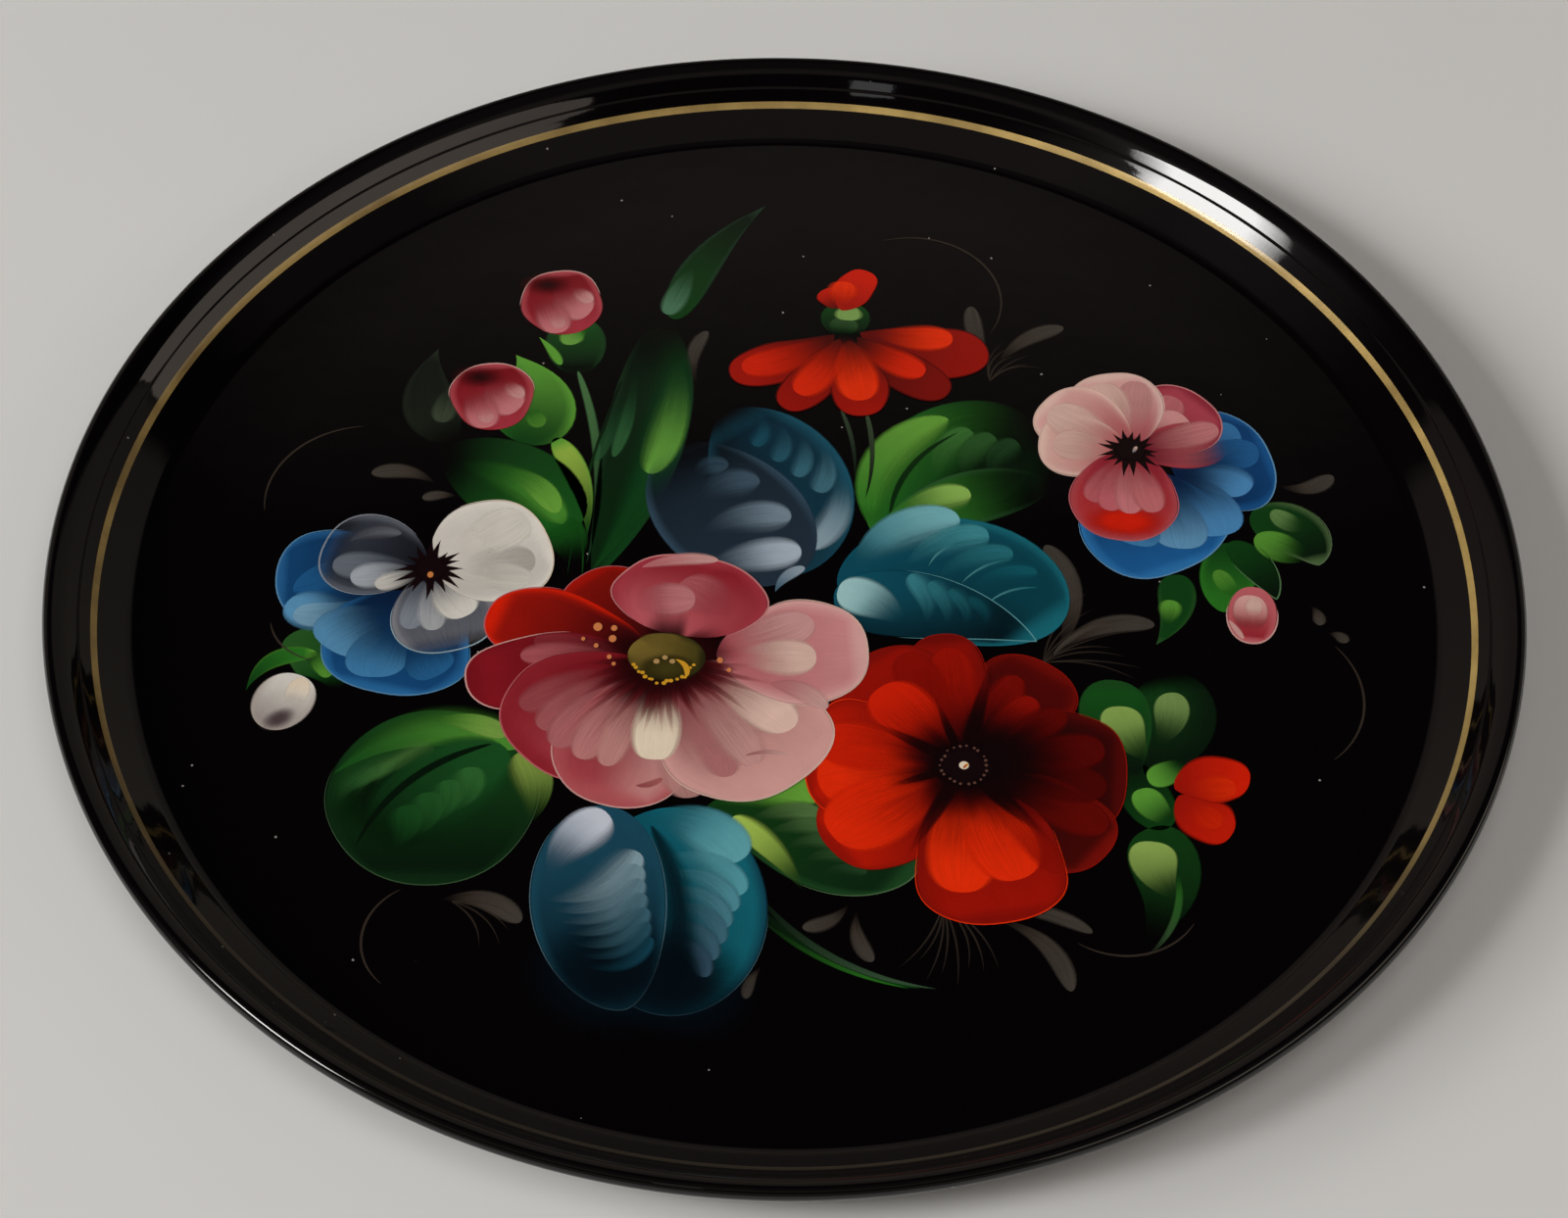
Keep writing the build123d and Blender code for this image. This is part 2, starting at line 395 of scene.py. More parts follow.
def tray_shells():
    """Smooth shells in the places of the pressing, of its coats and of the gold line, which lies
    across the crease at the top of the wall."""
    rows, ends = fitted_rows()
    _, _, wall_end, crease_end, _, _, _, upper_ledge_end, shoulder_end, curl_end = ends
    face_end = shoulder_end + round((curl_end - shoulder_end) * FACE_CURL_COATED)
    back_end = upper_ledge_end + round((shoulder_end - upper_ledge_end) * BACK_SHOULDER_COATED)
    side = SHEET / 2 + GAP
    turned("pressed_pan", shell(rows, -SHEET / 2, SHEET / 2), STEEL_FACETS, "tray_pan")
    turned("face_lacquer_shell", shell(rows[:face_end], side, side + COAT), FACE_FACETS,
           "face_lacquer")
    turned("back_lacquer_shell", shell(rows[:back_end], -side - COAT, -side), STEEL_FACETS,
           "back_lacquer")
    on_wall = [along(rows[wall_end - 1], STRAIGHT, -GOLD_WIDTH * share) for share in (0.5, 0.25, 0.05)]
    on_ledge = [along(rows[crease_end - 1], STRAIGHT, GOLD_WIDTH * share) for share in (0.0, 0.25, 0.45)]
    gold_rows = np.array(on_wall + on_ledge)
    low = side + COAT + GAP
    turned("gold_ring", shell(gold_rows, low, low + GOLD_DEPTH), GOLD_FACETS, "gold_line")


# ---------------------------------------------------------------- brush strokes
class Film:
    """Brush strokes laid one over another and kept as one thin mesh.
    Places are in painter's units, measured from the film's own centre."""

    def __init__(self, centre, deck):
        self.centre = np.array(centre, float)
        self.height = floor_top + deck * deck_step
        self.count = 0
        self.vertices, self.faces, self.tints, self.brush = [], [], [], []
        self.total = 0

    def lay(self, grid, tint, cover, brush):
        """Adds one stroke: a grid of points with their colours, cover and places in the bristle map."""
        rows, columns = grid.shape[:2]
        self.count += 1
        height = self.height + self.count * stroke_step
        flat = (grid.reshape(-1, 2) + self.centre) * unit
        index = self.total + np.arange(rows * columns).reshape(rows, columns)
        quads = np.stack([index[:-1, :-1], index[1:, :-1], index[1:, 1:], index[:-1, 1:]], -1)
        self.vertices.append(np.c_[flat, np.full(len(flat), height)])
        self.faces.append(quads.reshape(-1, 4))
        self.tints.append(np.c_[tint.reshape(-1, 3), cover.reshape(-1)])
        self.brush.append(brush.reshape(-1, 2))
        self.total += rows * columns


def spine(start, end, bend, steps):
    """Points, sideways directions and shares along a bent stroke, closer together at its ends."""
    start, end = np.array(start, float), np.array(end, float)
    share = (1 - np.cos(np.pi * np.linspace(0, 1, steps))) / 2
    ahead = end - start
    side = np.array([-ahead[1], ahead[0]]) / (np.linalg.norm(ahead) + 1e-9)
    control = (start + end) / 2 + side * bend * 2
    t = share[:, None]
    points = (1 - t) ** 2 * start + 2 * t * (1 - t) * control + t * t * end
    along = 2 * (1 - t) * (control - start) + 2 * t * (end - control)
    along /= np.linalg.norm(along, axis=1)[:, None]
    return points, np.c_[-along[:, 1], along[:, 0]], share


def profile(share, taper):
    """Half width along a stroke, 1 at its widest. taper gives the power at its start and end."""
    a, b = taper
    widest = a / (a + b)
    top = widest ** a * (1 - widest) ** b
    return share ** a * (1 - share) ** b / top


def stroke(film, start, end, width, tints, bend=0, taper=(0.7, 0.5), feather=0, cover=1, sides=(0, 0),
           soft=0.6, tip=0, edge=None, edge_reach=0.25, waves=0, side_tint=None, line=None,
           steps=(22, 11)):
    """One stroke from start to end. tints is the colour at its start and at its end, bend how far
    it bows and taper how fast each end opens. feather is how much of its start fades out, tip how
    much of its end, and sides how much of each side. soft is the width over which the border
    thins out. edge is a colour that gathers along the border, side_tint one that gathers on the
    left (+) or right (-) side, line a thin outline, and waves how much the border wavers."""
    points, side, share = spine(start, end, bend, steps[0])
    border = min(2 * soft / width, 0.4)
    across = np.r_[-1, np.linspace(border - 1, 1 - border, steps[1] - 2), 1]
    half = width / 2 * profile(share, taper)
    swell = 1.0
    if waves:
        phases = rng.uniform(0, 2 * np.pi, 2)
        left = 1 + waves * np.sin(LEFT_WAVES * share + phases[0])
        right = 1 + waves * np.sin(RIGHT_WAVES * share + phases[1])
        swell = np.where(across[None, :] > 0, left[:, None], right[:, None])
    spread = half[:, None] * across[None, :] * swell
    grid = points[:, None, :] + spread[..., None] * side[:, None, :]
    first, last = (linear(c) for c in tints)
    t = np.repeat(share[:, None], len(across), 1)
    v = np.repeat(across[None, :], len(share), 0)
    colour = blend(first, last, smooth(t))
    if side_tint:
        gathered, side_sign, strength = side_tint
        colour = blend(colour, linear(gathered), smooth((v * side_sign + 0.4) / 1.4) * strength)
    if edge:
        rim = np.maximum(np.abs(v), smooth((t - 0.6) / 0.4))
        nearness = smooth((rim - 1 + edge_reach) / edge_reach) * smooth(t / 0.4)
        colour = blend(colour, linear(edge), nearness)
    fade = cover * (np.abs(v) < 1)
    for reach, inward in ((feather, t), (tip, 1 - t), (sides[0], v + 1), (sides[1], 1 - v)):
        if reach:
            fade = fade * smooth(inward / reach)
    length = np.linalg.norm(np.subtract(end, start))
    along_shift, across_shift = (film.count * shift for shift in BRUSH_SHIFT)
    brush = np.stack([t * length + along_shift, v * width / 2 + across_shift], -1)
    film.lay(grid, colour, fade, brush)
    if line:
        outline(film, grid, share, *line)


def outline(film, grid, share, tint, width, first=0.35):
    """A thin line along a stroke's border, from a share of its length round its end."""
    left, right = grid[share >= first, -1], grid[share >= first, 0]
    path = np.concatenate([left, right[::-1][1:]])
    keep = np.r_[True, np.linalg.norm(np.diff(path, axis=0), axis=1) > 1e-3]
    hairline(film, path[keep], tint, width)


def hairline(film, path, tint, width, cover=0.8):
    """A fine line through points, thin at both ends."""
    along = np.gradient(path, axis=0)
    along /= np.linalg.norm(along, axis=1)[:, None] + 1e-9
    side = np.c_[-along[:, 1], along[:, 0]]
    share = np.linspace(0, 1, len(path))
    half = width / 2 * np.clip(np.sin(np.pi * share), 0, 1) ** 0.5
    across = np.array([-1.0, 0.0, 1.0])
    grid = path[:, None, :] + (half[:, None] * across)[..., None] * side[:, None, :]
    colour = np.broadcast_to(linear(tint), grid.shape[:2] + (3,))
    fade = np.full(grid.shape[:2], cover)
    bristles_along = np.repeat(share[:, None] * HAIRLINE_BRISTLES, 3, 1)
    bristles_across = np.repeat(across[None] * width, len(path), 0)
    brush = np.stack([bristles_along, bristles_across], -1)
    film.lay(grid, colour, fade, brush)


def glow(film, centre, reach, tints, inner=0.3, rays=0, ray_depth=0.25, squash=1, turn=0, cover=1):
    """A round patch that fades out from inner, a share of its reach, to its edge. rays makes that
    many ragged rays of it, squash flattens it and turn turns it by degrees."""
    share = np.linspace(0, 1, GLOW_RINGS)
    angle = np.linspace(0, 2 * np.pi, GLOW_FACETS + 1)
    swing = 1.0
    if rays:
        ragged = np.interp(angle, np.linspace(0, 2 * np.pi, rays + 1), np.r_[rng.uniform(0, 1, rays), 0])
        swing = 1 - ray_depth * ragged
    radius = share[:, None] * reach * swing
    flat = np.stack([radius * np.cos(angle), radius * np.sin(angle) * squash], -1)
    c = math.cos(math.radians(turn))
    s = math.sin(math.radians(turn))
    grid = flat @ np.array([[c, s], [-s, c]]) + np.array(centre, float)
    t = np.repeat(share[:, None], GLOW_FACETS + 1, 1)
    colour = blend(linear(tints[0]), linear(tints[1]), smooth(t))
    fade = cover * (1 - smooth((t - inner) / (1 - inner)))
    brush = np.stack([t * reach, np.repeat(angle[None] * reach, GLOW_RINGS, 0)], -1)
    film.lay(grid, colour, fade, brush)


def dot(film, centre, size, tint, squash=1):
    glow(film, centre, size, (tint, tint), inner=0.85, squash=squash)


def build(film, name, material):
    """Turns a film into one piece."""
    mesh = bpy.data.meshes.new(name)
    mesh.from_pydata(np.concatenate(film.vertices).tolist(), [], np.concatenate(film.faces).tolist())
    tint = mesh.attributes.new("tint", "FLOAT_COLOR", "POINT")
    tint.data.foreach_set("color", np.concatenate(film.tints).astype(np.float32).ravel())
    layer = mesh.uv_layers.new(name="brush")
    loops = np.zeros(len(mesh.loops), np.int32)
    mesh.loops.foreach_get("vertex_index", loops)
    layer.data.foreach_set("uv", np.concatenate(film.brush)[loops].astype(np.float32).ravel())
    mesh.polygons.foreach_set("use_smooth", np.ones(len(mesh.polygons), bool))
    mesh.materials.append(material)
    mesh.update()
    return add_piece(name, mesh)


def centre_of(node):
    """Middle of a CAD paint film, in painter's units."""
    low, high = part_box(node)
    return np.array([(low.x + high.x) / 2, (low.y + high.y) / 2]) / unit


def paint_motif(motif, deck, material):
    """Paints one motif, in the place of the CAD film that has its name."""
    node = motif.__name__ + "_paint"
    film = Film(centre_of(node), deck)
    motif(film)
    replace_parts(build(film, motif.__name__, material), node)


# ---------------------------------------------------------------- palette, as colours on a screen
MAROON = (46, 6, 9)
NIGHT_RED = (26, 3, 4)
DEEP_RED = (94, 8, 5)
BRICK = (160, 20, 8)
SCARLET = (214, 32, 6)
FLAME = (240, 52, 10)
CRIMSON = (150, 34, 44)
ROSE_RED = (176, 62, 72)
ROSE = (192, 98, 104)
PINK = (206, 132, 132)
PALE_PINK = (216, 164, 158)
SHELL = (226, 190, 176)
CREAM = (232, 214, 190)
CHALK = (214, 210, 202)
ASH = (128, 128, 132)
STEEL_BLUE = (74, 104, 124)
MIST = (150, 172, 182)
BLACK_GREEN = (8, 22, 10)
FOREST = (16, 62, 20)
LEAF = (42, 112, 32)
GRASS = (92, 156, 54)
LIME = (148, 182, 70)
OLIVE = (70, 62, 22)
MUSTARD = (120, 100, 44)
AMBER = (206, 150, 40)
UMBER = (66, 56, 48)
INK = (20, 6, 8)


# ---------------------------------------------------------------- what the motifs share
def ray(heart, angle, distance):
    """The point at a distance from a flower's heart, at an angle in degrees."""
    turn = math.radians(angle)
    return (heart[0] + distance * math.cos(turn), heart[1] + distance * math.sin(turn))


def petal(film, heart, angle, near, far, width, tints, edge=None, waves=0, line=None, **settings):
    """A petal that starts near the heart and opens outward."""
    settings = {"taper": (0.62, 0.42), "steps": (34, 17), **settings}
    stroke(film, ray(heart, angle, near), ray(heart, angle, far), width, tints, edge=edge, waves=waves,
           line=line, **settings)


def touch(film, heart, angle, near, far, width, tint, cover=1, bend=0, soft=1.5, feather=0.9,
          taper=(0.85, 0.42)):
    """A loaded brush touch: round outside, fading out towards the heart."""
    stroke(film, ray(heart, angle, near), ray(heart, angle, far), width, (tint, tint), bend, taper,
           feather, cover, soft=soft)


def strokes(film, rows, **shared):
    """Strokes in a row, each given as the values that stroke takes, in its order."""
    for row in rows:
        stroke(film, *row, **shared)


def petals(film, heart, rows, **shared):
    """Petals of one flower, each given as the values that petal takes, in its order."""
    for row in rows:
        petal(film, heart, *row, **shared)


def touches(film, heart, rows, **shared):
    """Touches on one flower, each given as the values that touch takes, in its order."""
    for row in rows:
        touch(film, heart, *row, **shared)


def comb(film, tails, heads, count, widths, tints, bend=0, cover=0.8, sides=(0, 0.9)):
    """Neighbouring comma strokes, each from a thin faded tail to a round head. tails, heads,
    widths and tints give the first and the last stroke, and the ones between are mixed."""
    for share in np.linspace(0, 1, count):
        tail, head, tint = (np.array(first, float) * (1 - share) + np.array(last, float) * share
                            for first, last in (tails, heads, tints))
        width = widths[0] * (1 - share) + widths[1] * share
        width = width * rng.uniform(0.92, 1.08)
        stroke(film, tail, head, width, (tint, tint), bend, (1, 0.36), 0.9,
               cover * rng.uniform(0.85, 1.0), sides, 1.3)


def stamens(film, heart, low_angle, high_angle, distance, count, size, tint):
    """A loose arc of dots."""
    for angle in np.linspace(low_angle, high_angle, count):
        place = ray(heart, angle + rng.uniform(-4, 4), distance * rng.uniform(0.93, 1.07))
        dot(film, place, size * rng.uniform(0.7, 1.2), tint)


def whiskers(film, heart, count, reach, tint):
    """The dark star at a pansy's heart."""
    for index in range(count):
        angle = 360 * index / count + rng.uniform(-5, 5)
        far = reach * rng.uniform(0.7, 1.1)
        stroke(film, ray(heart, angle, 0), ray(heart, angle, far), 3.4, (tint, tint),
               taper=(0.25, 1.3), bend=rng.uniform(-0.6, 0.6), steps=(10, 5))
    glow(film, heart, reach * 0.55, (tint, tint), inner=0.7, rays=count)


# ---------------------------------------------------------------- motifs
# Each motif paints the flower, bud or leaf that it is named after, from its lowest stroke to its
# topmost. Its places are in painter's units from the middle of its CAD film.
def pink_rose(film):
    heart = (-1.6, 6.5)
    pale = (PALE_PINK, 0.5)
    petals(film, heart, (
        (131, 4, 37, 27, (MAROON, (128, 16, 8)), BRICK, 0.04, (ROSE, 0.3, 0.5)),
        (163, 5, 51, 26, (MAROON, (150, 20, 10)), SCARLET, 0.05, (ROSE, 0.4, 0.6)),
        (190, 5, 54, 26, (MAROON, (136, 22, 32)), (120, 18, 28), 0.05, pale),
    ))
    touches(film, heart, (
        (172, 10, 36, 9, (150, 52, 60), 0.6, 0, 2), (181, 12, 39, 9, ROSE, 0.65, -1, 2),
        (190, 12, 37, 8, PINK, 0.75, -1, 1.8),
    ))
    petal(film, heart, 224, 4, 50, 44, (MAROON, (166, 58, 68)), edge=(140, 34, 44), waves=0.04,
          line=(ROSE, 0.5), side_tint=((132, 20, 30), -1, 0.8), edge_reach=0.35)
    touches(film, heart, (
        (206, 12, 42, 12, (172, 84, 90), 0.6), (218, 10, 41, 13, (186, 104, 108), 0.65),
    ), bend=-1.5, soft=2.6)
    petal(film, heart, 253, 5, 52, 36, (MAROON, (168, 66, 74)), edge=(176, 84, 88), waves=0.06,
          line=(PALE_PINK, 0.5), side_tint=(PALE_PINK, 1, 0.75), edge_reach=0.4)
    touches(film, heart, (
        (228, 10, 42, 13, (192, 114, 118), 0.7, -2, 2.2),
        (239, 9, 41, 12, (206, 136, 134), 0.75, -1.5, 2), (249, 9, 40, 10, (216, 154, 148), 0.7, -1, 1.8),
        (280, 14, 48, 16, (200, 146, 140), 0.7, 0, 3),
    ))
    stroke(film, ray(heart, 262, 44), ray(heart, 271, 41), 2.4, ((150, 62, 66), (176, 92, 92)), -0.8,
           cover=0.6)
    petal(film, heart, 311, 5, 55, 46, ((116, 42, 50), (212, 158, 152)), edge=(212, 158, 152), waves=0.05,
          line=(SHELL, 0.6), edge_reach=0.35)
    touches(film, heart, (
        (294, 10, 44, 13, (190, 120, 122), 0.6, 1.5, 2.6),
        (305, 12, 44, 13, (214, 162, 156), 0.7, 1.5, 2.6),
        (267, 12, 35, 14, CREAM, 1, 0, 1.8, 0.65, (0.42, 0.3)), (325, 14, 42, 15, SHELL, 1, 2, 2, 0.8),
    ))
    stroke(film, ray(heart, 304, 40), ray(heart, 316, 47), 1.6, ((170, 96, 98), (216, 176, 168)), 1.2,
           cover=0.6)
    petal(film, heart, 4, 14, 55, 36, ((168, 76, 84), (206, 138, 140)), edge=(216, 164, 160), waves=0.03,
          line=(SHELL, 0.5), side_tint=((196, 128, 130), -1, 0.5), edge_reach=0.3)
    touches(film, heart, (
        (20, 14, 42, 15, (214, 160, 158), 0.8, -2, 2.4), (1, 18, 41, 14, SHELL, 0.9, 0, 2),
    ))
    stroke(film, ray(heart, 343, 30), ray(heart, 339, 47), 7, ((190, 116, 120), (220, 174, 168)), 2,
           cover=0.75, soft=1.6)
    stroke(film, (2, 14), (7, 42), 42, ((190, 92, 100), (140, 30, 42)), taper=(0.42, 0.42),
           steps=(30, 17), edge=(160, 52, 64), line=(PINK, 0.6, 0.1), waves=0.04,
           side_tint=((136, 24, 34), -1, 0.6), edge_reach=0.35)
    strokes(film, (
        ((18, 22), (2, 33), 15, ((170, 66, 78), (196, 104, 110)), 0, (0.8, 0.5), 0.8, 0.6, (0, 0), 2.6),
        ((-12, 26), (6, 27), 13, ((186, 96, 104), (206, 132, 136)), 0, (0.6, 0.42), 0.7, 0.75, (0, 0), 2),
        ((-9, 38), (12, 41), 5, ((196, 112, 118), PALE_PINK), 1.6, (0.7, 0.5), 0, 0.8, (0, 0), 1.2),
    ))
    glow(film, (heart[0], heart[1] - 2), 25, (NIGHT_RED, MAROON), inner=0.3, rays=30, ray_depth=0.5)
    for angle in np.linspace(188, 348, 26):
        stroke(film, ray(heart, angle, 10), ray(heart, angle + rng.uniform(-3, 3), rng.uniform(22, 34)),
               2.2, (MAROON, CRIMSON), rng.uniform(-0.8, 0.8), taper=(0.4, 1.2), tip=0.9, cover=0.6,
               soft=0.9)
    stroke(film, (heart[0] - 10, heart[1] + 1), (heart[0] + 11, heart[1] - 1), 17, (MUSTARD, OLIVE),
           taper=(0.5, 0.5), side_tint=(OLIVE, -1, 0.8), edge=(40, 36, 14))
    glow(film, (heart[0] + 1, heart[1] - 4), 9, (OLIVE, (44, 38, 14)), inner=0.5, squash=0.6, cover=0.8)
    touch(film, (heart[0] - 1, heart[1] + 2), 90, 0, 6, 12, MUSTARD, cover=0.6)
    stamens(film, (heart[0], heart[1] - 1), 190, 345, 8, 17, 0.62, AMBER)
    stroke(film, (heart[0] + 3, heart[1] - 1), (heart[0] + 6, heart[1] - 7), 2, (AMBER, AMBER), 1.4)
    stamens(film, (heart[0], heart[1] - 3), 150, 30, 2.5, 3, 0.8, (176, 140, 90))
    for angle, distance, size in (
        (152, 21, 1.3), (146, 17, 0.9), (158, 15.5, 1.1), (170, 19, 0.7), (182, 15, 0.7), (192, 14, 0.6),
        (166, 23, 0.6), (-4, 15, 0.9), (-14, 18, 0.7),
    ):
        dot(film, ray(heart, angle, distance), size, (206, 124, 74), squash=1.2)


def red_poppy(film):
    heart = (-0.5, 3.5)
    thin = ((150, 20, 8), 0.3)
    petals(film, heart, (
        (56, 6, 42, 29, (INK, (84, 7, 4)), (110, 12, 6), 0.06, thin),
        (356, 6, 43, 42, (INK, (54, 5, 4)), (82, 9, 6), 0.05, thin),
        (322, 8, 46, 27, (INK, (70, 7, 4)), (120, 15, 7), 0.05, thin),
        (97, 6, 45, 22, (DEEP_RED, (140, 15, 6)), (112, 12, 6), 0.04, thin),
        (127, 6, 45, 34, (DEEP_RED, (156, 18, 6)), (124, 14, 6), 0.05, thin),
        (219, 8, 45, 31, (DEEP_RED, (184, 25, 5)), (150, 18, 6), 0.04),
        (177, 8, 42, 40, (DEEP_RED, (190, 26, 5)), (150, 18, 6), 0.05, (FLAME, 0.4)),
        (281, 7, 51, 40, (DEEP_RED, (164, 19, 5)), (134, 15, 6), 0.05, (FLAME, 0.4)),
    ))
    touches(film, heart, (
        (95, 8, 40, 15, (164, 20, 6), 0.8), (112, 8, 41, 14, (150, 17, 6), 0.7),
        (131, 6, 34, 19, (216, 34, 7), 0.9), (64, 8, 34, 11, (130, 14, 6), 0.75),
        (50, 8, 30, 11, (150, 18, 7), 0.8), (34, 8, 33, 11, (104, 10, 5), 0.75),
        (188, 4, 39, 22, (238, 46, 8), 0.9), (168, 6, 40, 17, (214, 34, 6), 0.85),
        (214, 6, 42, 23, (236, 44, 8), 0.9), (268, 4, 41, 20, (244, 50, 9), 0.9),
        (291, 4, 39, 20, (238, 46, 8), 0.9), (306, 12, 42, 9, (160, 20, 6), 0.6),
        (332, 8, 42, 14, (112, 12, 5), 0.75), (350, 8, 38, 14, (86, 8, 4), 0.7),
        (10, 8, 38, 14, (98, 9, 5), 0.7),
    ), soft=2)
    for angle, far, width in (
        (77, 40, 5), (108, 26, 3), (150, 30, 4), (200, 24, 3), (243, 36, 5), (313, 34, 6),
    ):
        stroke(film, ray(heart, angle, 4), ray(heart, angle, far), width, (INK, NIGHT_RED),
               taper=(0.5, 1.3), tip=0.8, cover=0.85, soft=1.6)
    glow(film, heart, 24, (INK, (40, 4, 4)), inner=0.2, rays=34, ray_depth=0.5, cover=0.95)
    glow(film, (heart[0] + 8, heart[1] + 2), 24, (INK, NIGHT_RED), inner=0.1, cover=0.75)
    glow(film, heart, 11, (INK, INK), inner=0.5, rays=26, ray_depth=0.3)
    stamens(film, heart, 0, 345, 6.2, 22, 0.42, (92, 62, 54))
    dot(film, heart, 1.4, CREAM)
    stroke(film, (heart[0] - 0.2, heart[1] - 1), (heart[0] + 1.1, heart[1] + 0.6), 0.9, (BRICK, AMBER))


def blue_petal(film, start, end, width, tints, edge, outlined=(90, 140, 180), **settings):
    """One of a pansy's broad lower petals."""
    settings = {"taper": (0.5, 0.42), "waves": 0.03, **settings}
    stroke(film, start, end, width, tints, edge=edge, edge_reach=0.2, steps=(28, 15),
           line=(outlined, 0.5, 0.4), **settings)


def white_pansy(film):
    heart = (7, 10.5)
    deep, clear = (8, 28, 56), (88, 146, 186)
    blue_petal(film, (-4, 8), (-35, 6), 35, (deep, (18, 66, 112)), (36, 92, 142), taper=(0.5, 0.45))
    strokes(film, (
        ((-14, 20), (-30, 2), 14, (deep, (34, 96, 150)), 5, (0.9, 0.5), 0, 0.8, (0, 1)),
        ((-6, -1), (-31, -2), 15, (deep, clear), 4, (1, 0.42), 0.9, 1, (0.5, 0.2)),
        ((-10, 0), (-29, -6), 9, (clear, (140, 184, 208)), 3, (1, 0.42), 0.9, 0.6),
    ))
    blue_petal(film, (4, 2), (-4, -33), 42, (deep, (20, 72, 122)), (40, 104, 158), waves=0.04)
    strokes(film, (
        ((0, -6), (-19, -18), 19, (deep, clear), -2, (1, 0.4), 0.9, 0.9),
        ((2, -8), (-6, -28), 17, (deep, (66, 130, 178)), -2, (1, 0.4), 0.9, 0.85),
        ((6, -12), (12, -27), 14, (deep, (40, 102, 154)), -1, (1, 0.4), 0.9, 0.8),
    ))
    petal(film, heart, 165, 1, 31, 29, ((22, 24, 32), (52, 56, 66)), line=((140, 146, 156), 0.5, 0.2),
          tip=0.3, edge=(96, 100, 110), edge_reach=0.25, cover=0.95)
    stroke(film, (-16, 20), (-2, 23), 6, ((70, 74, 84), (110, 112, 120)), 2, sides=(0.8, 0.8), cover=0.7)
    touches(film, heart, (
        (178, 3, 27, 11, (112, 120, 132), 0.75), (190, 3, 22, 10, (176, 182, 190), 0.8),
        (204, 2, 16, 7, CHALK, 0.75),
    ))
    petal(film, heart, 286, 1, 30, 29, ((70, 74, 84), (104, 106, 114)), line=(MIST, 0.5, 0.3), cover=0.85,
          tip=0.25, edge=(140, 140, 146))
    touches(film, heart, (
        (258, 3, 22, 9, (140, 148, 160), 0.75), (276, 3, 22, 9, (186, 188, 192), 0.7),
        (304, 2, 20, 13, CHALK, 0.95),
    ))
    petal(film, heart, 22, 1, 34, 38, ((206, 200, 192), CHALK), edge=(224, 218, 208), waves=0.02,
          side_tint=((150, 144, 138), -1, 0.35), line=(CREAM, 0.4), taper=(0.5, 0.42))
    touches(film, heart, (
        (8, 6, 29, 13, (178, 174, 166), 0.5), (354, 6, 28, 11, (224, 220, 210), 0.7),
        (38, 6, 32, 16, (230, 224, 214), 0.7),
    ))
    whiskers(film, heart, 19, 10.5, INK)
    dot(film, (heart[0] + 0.2, heart[1] - 2.2), 0.9, (196, 122, 66), squash=1.3)


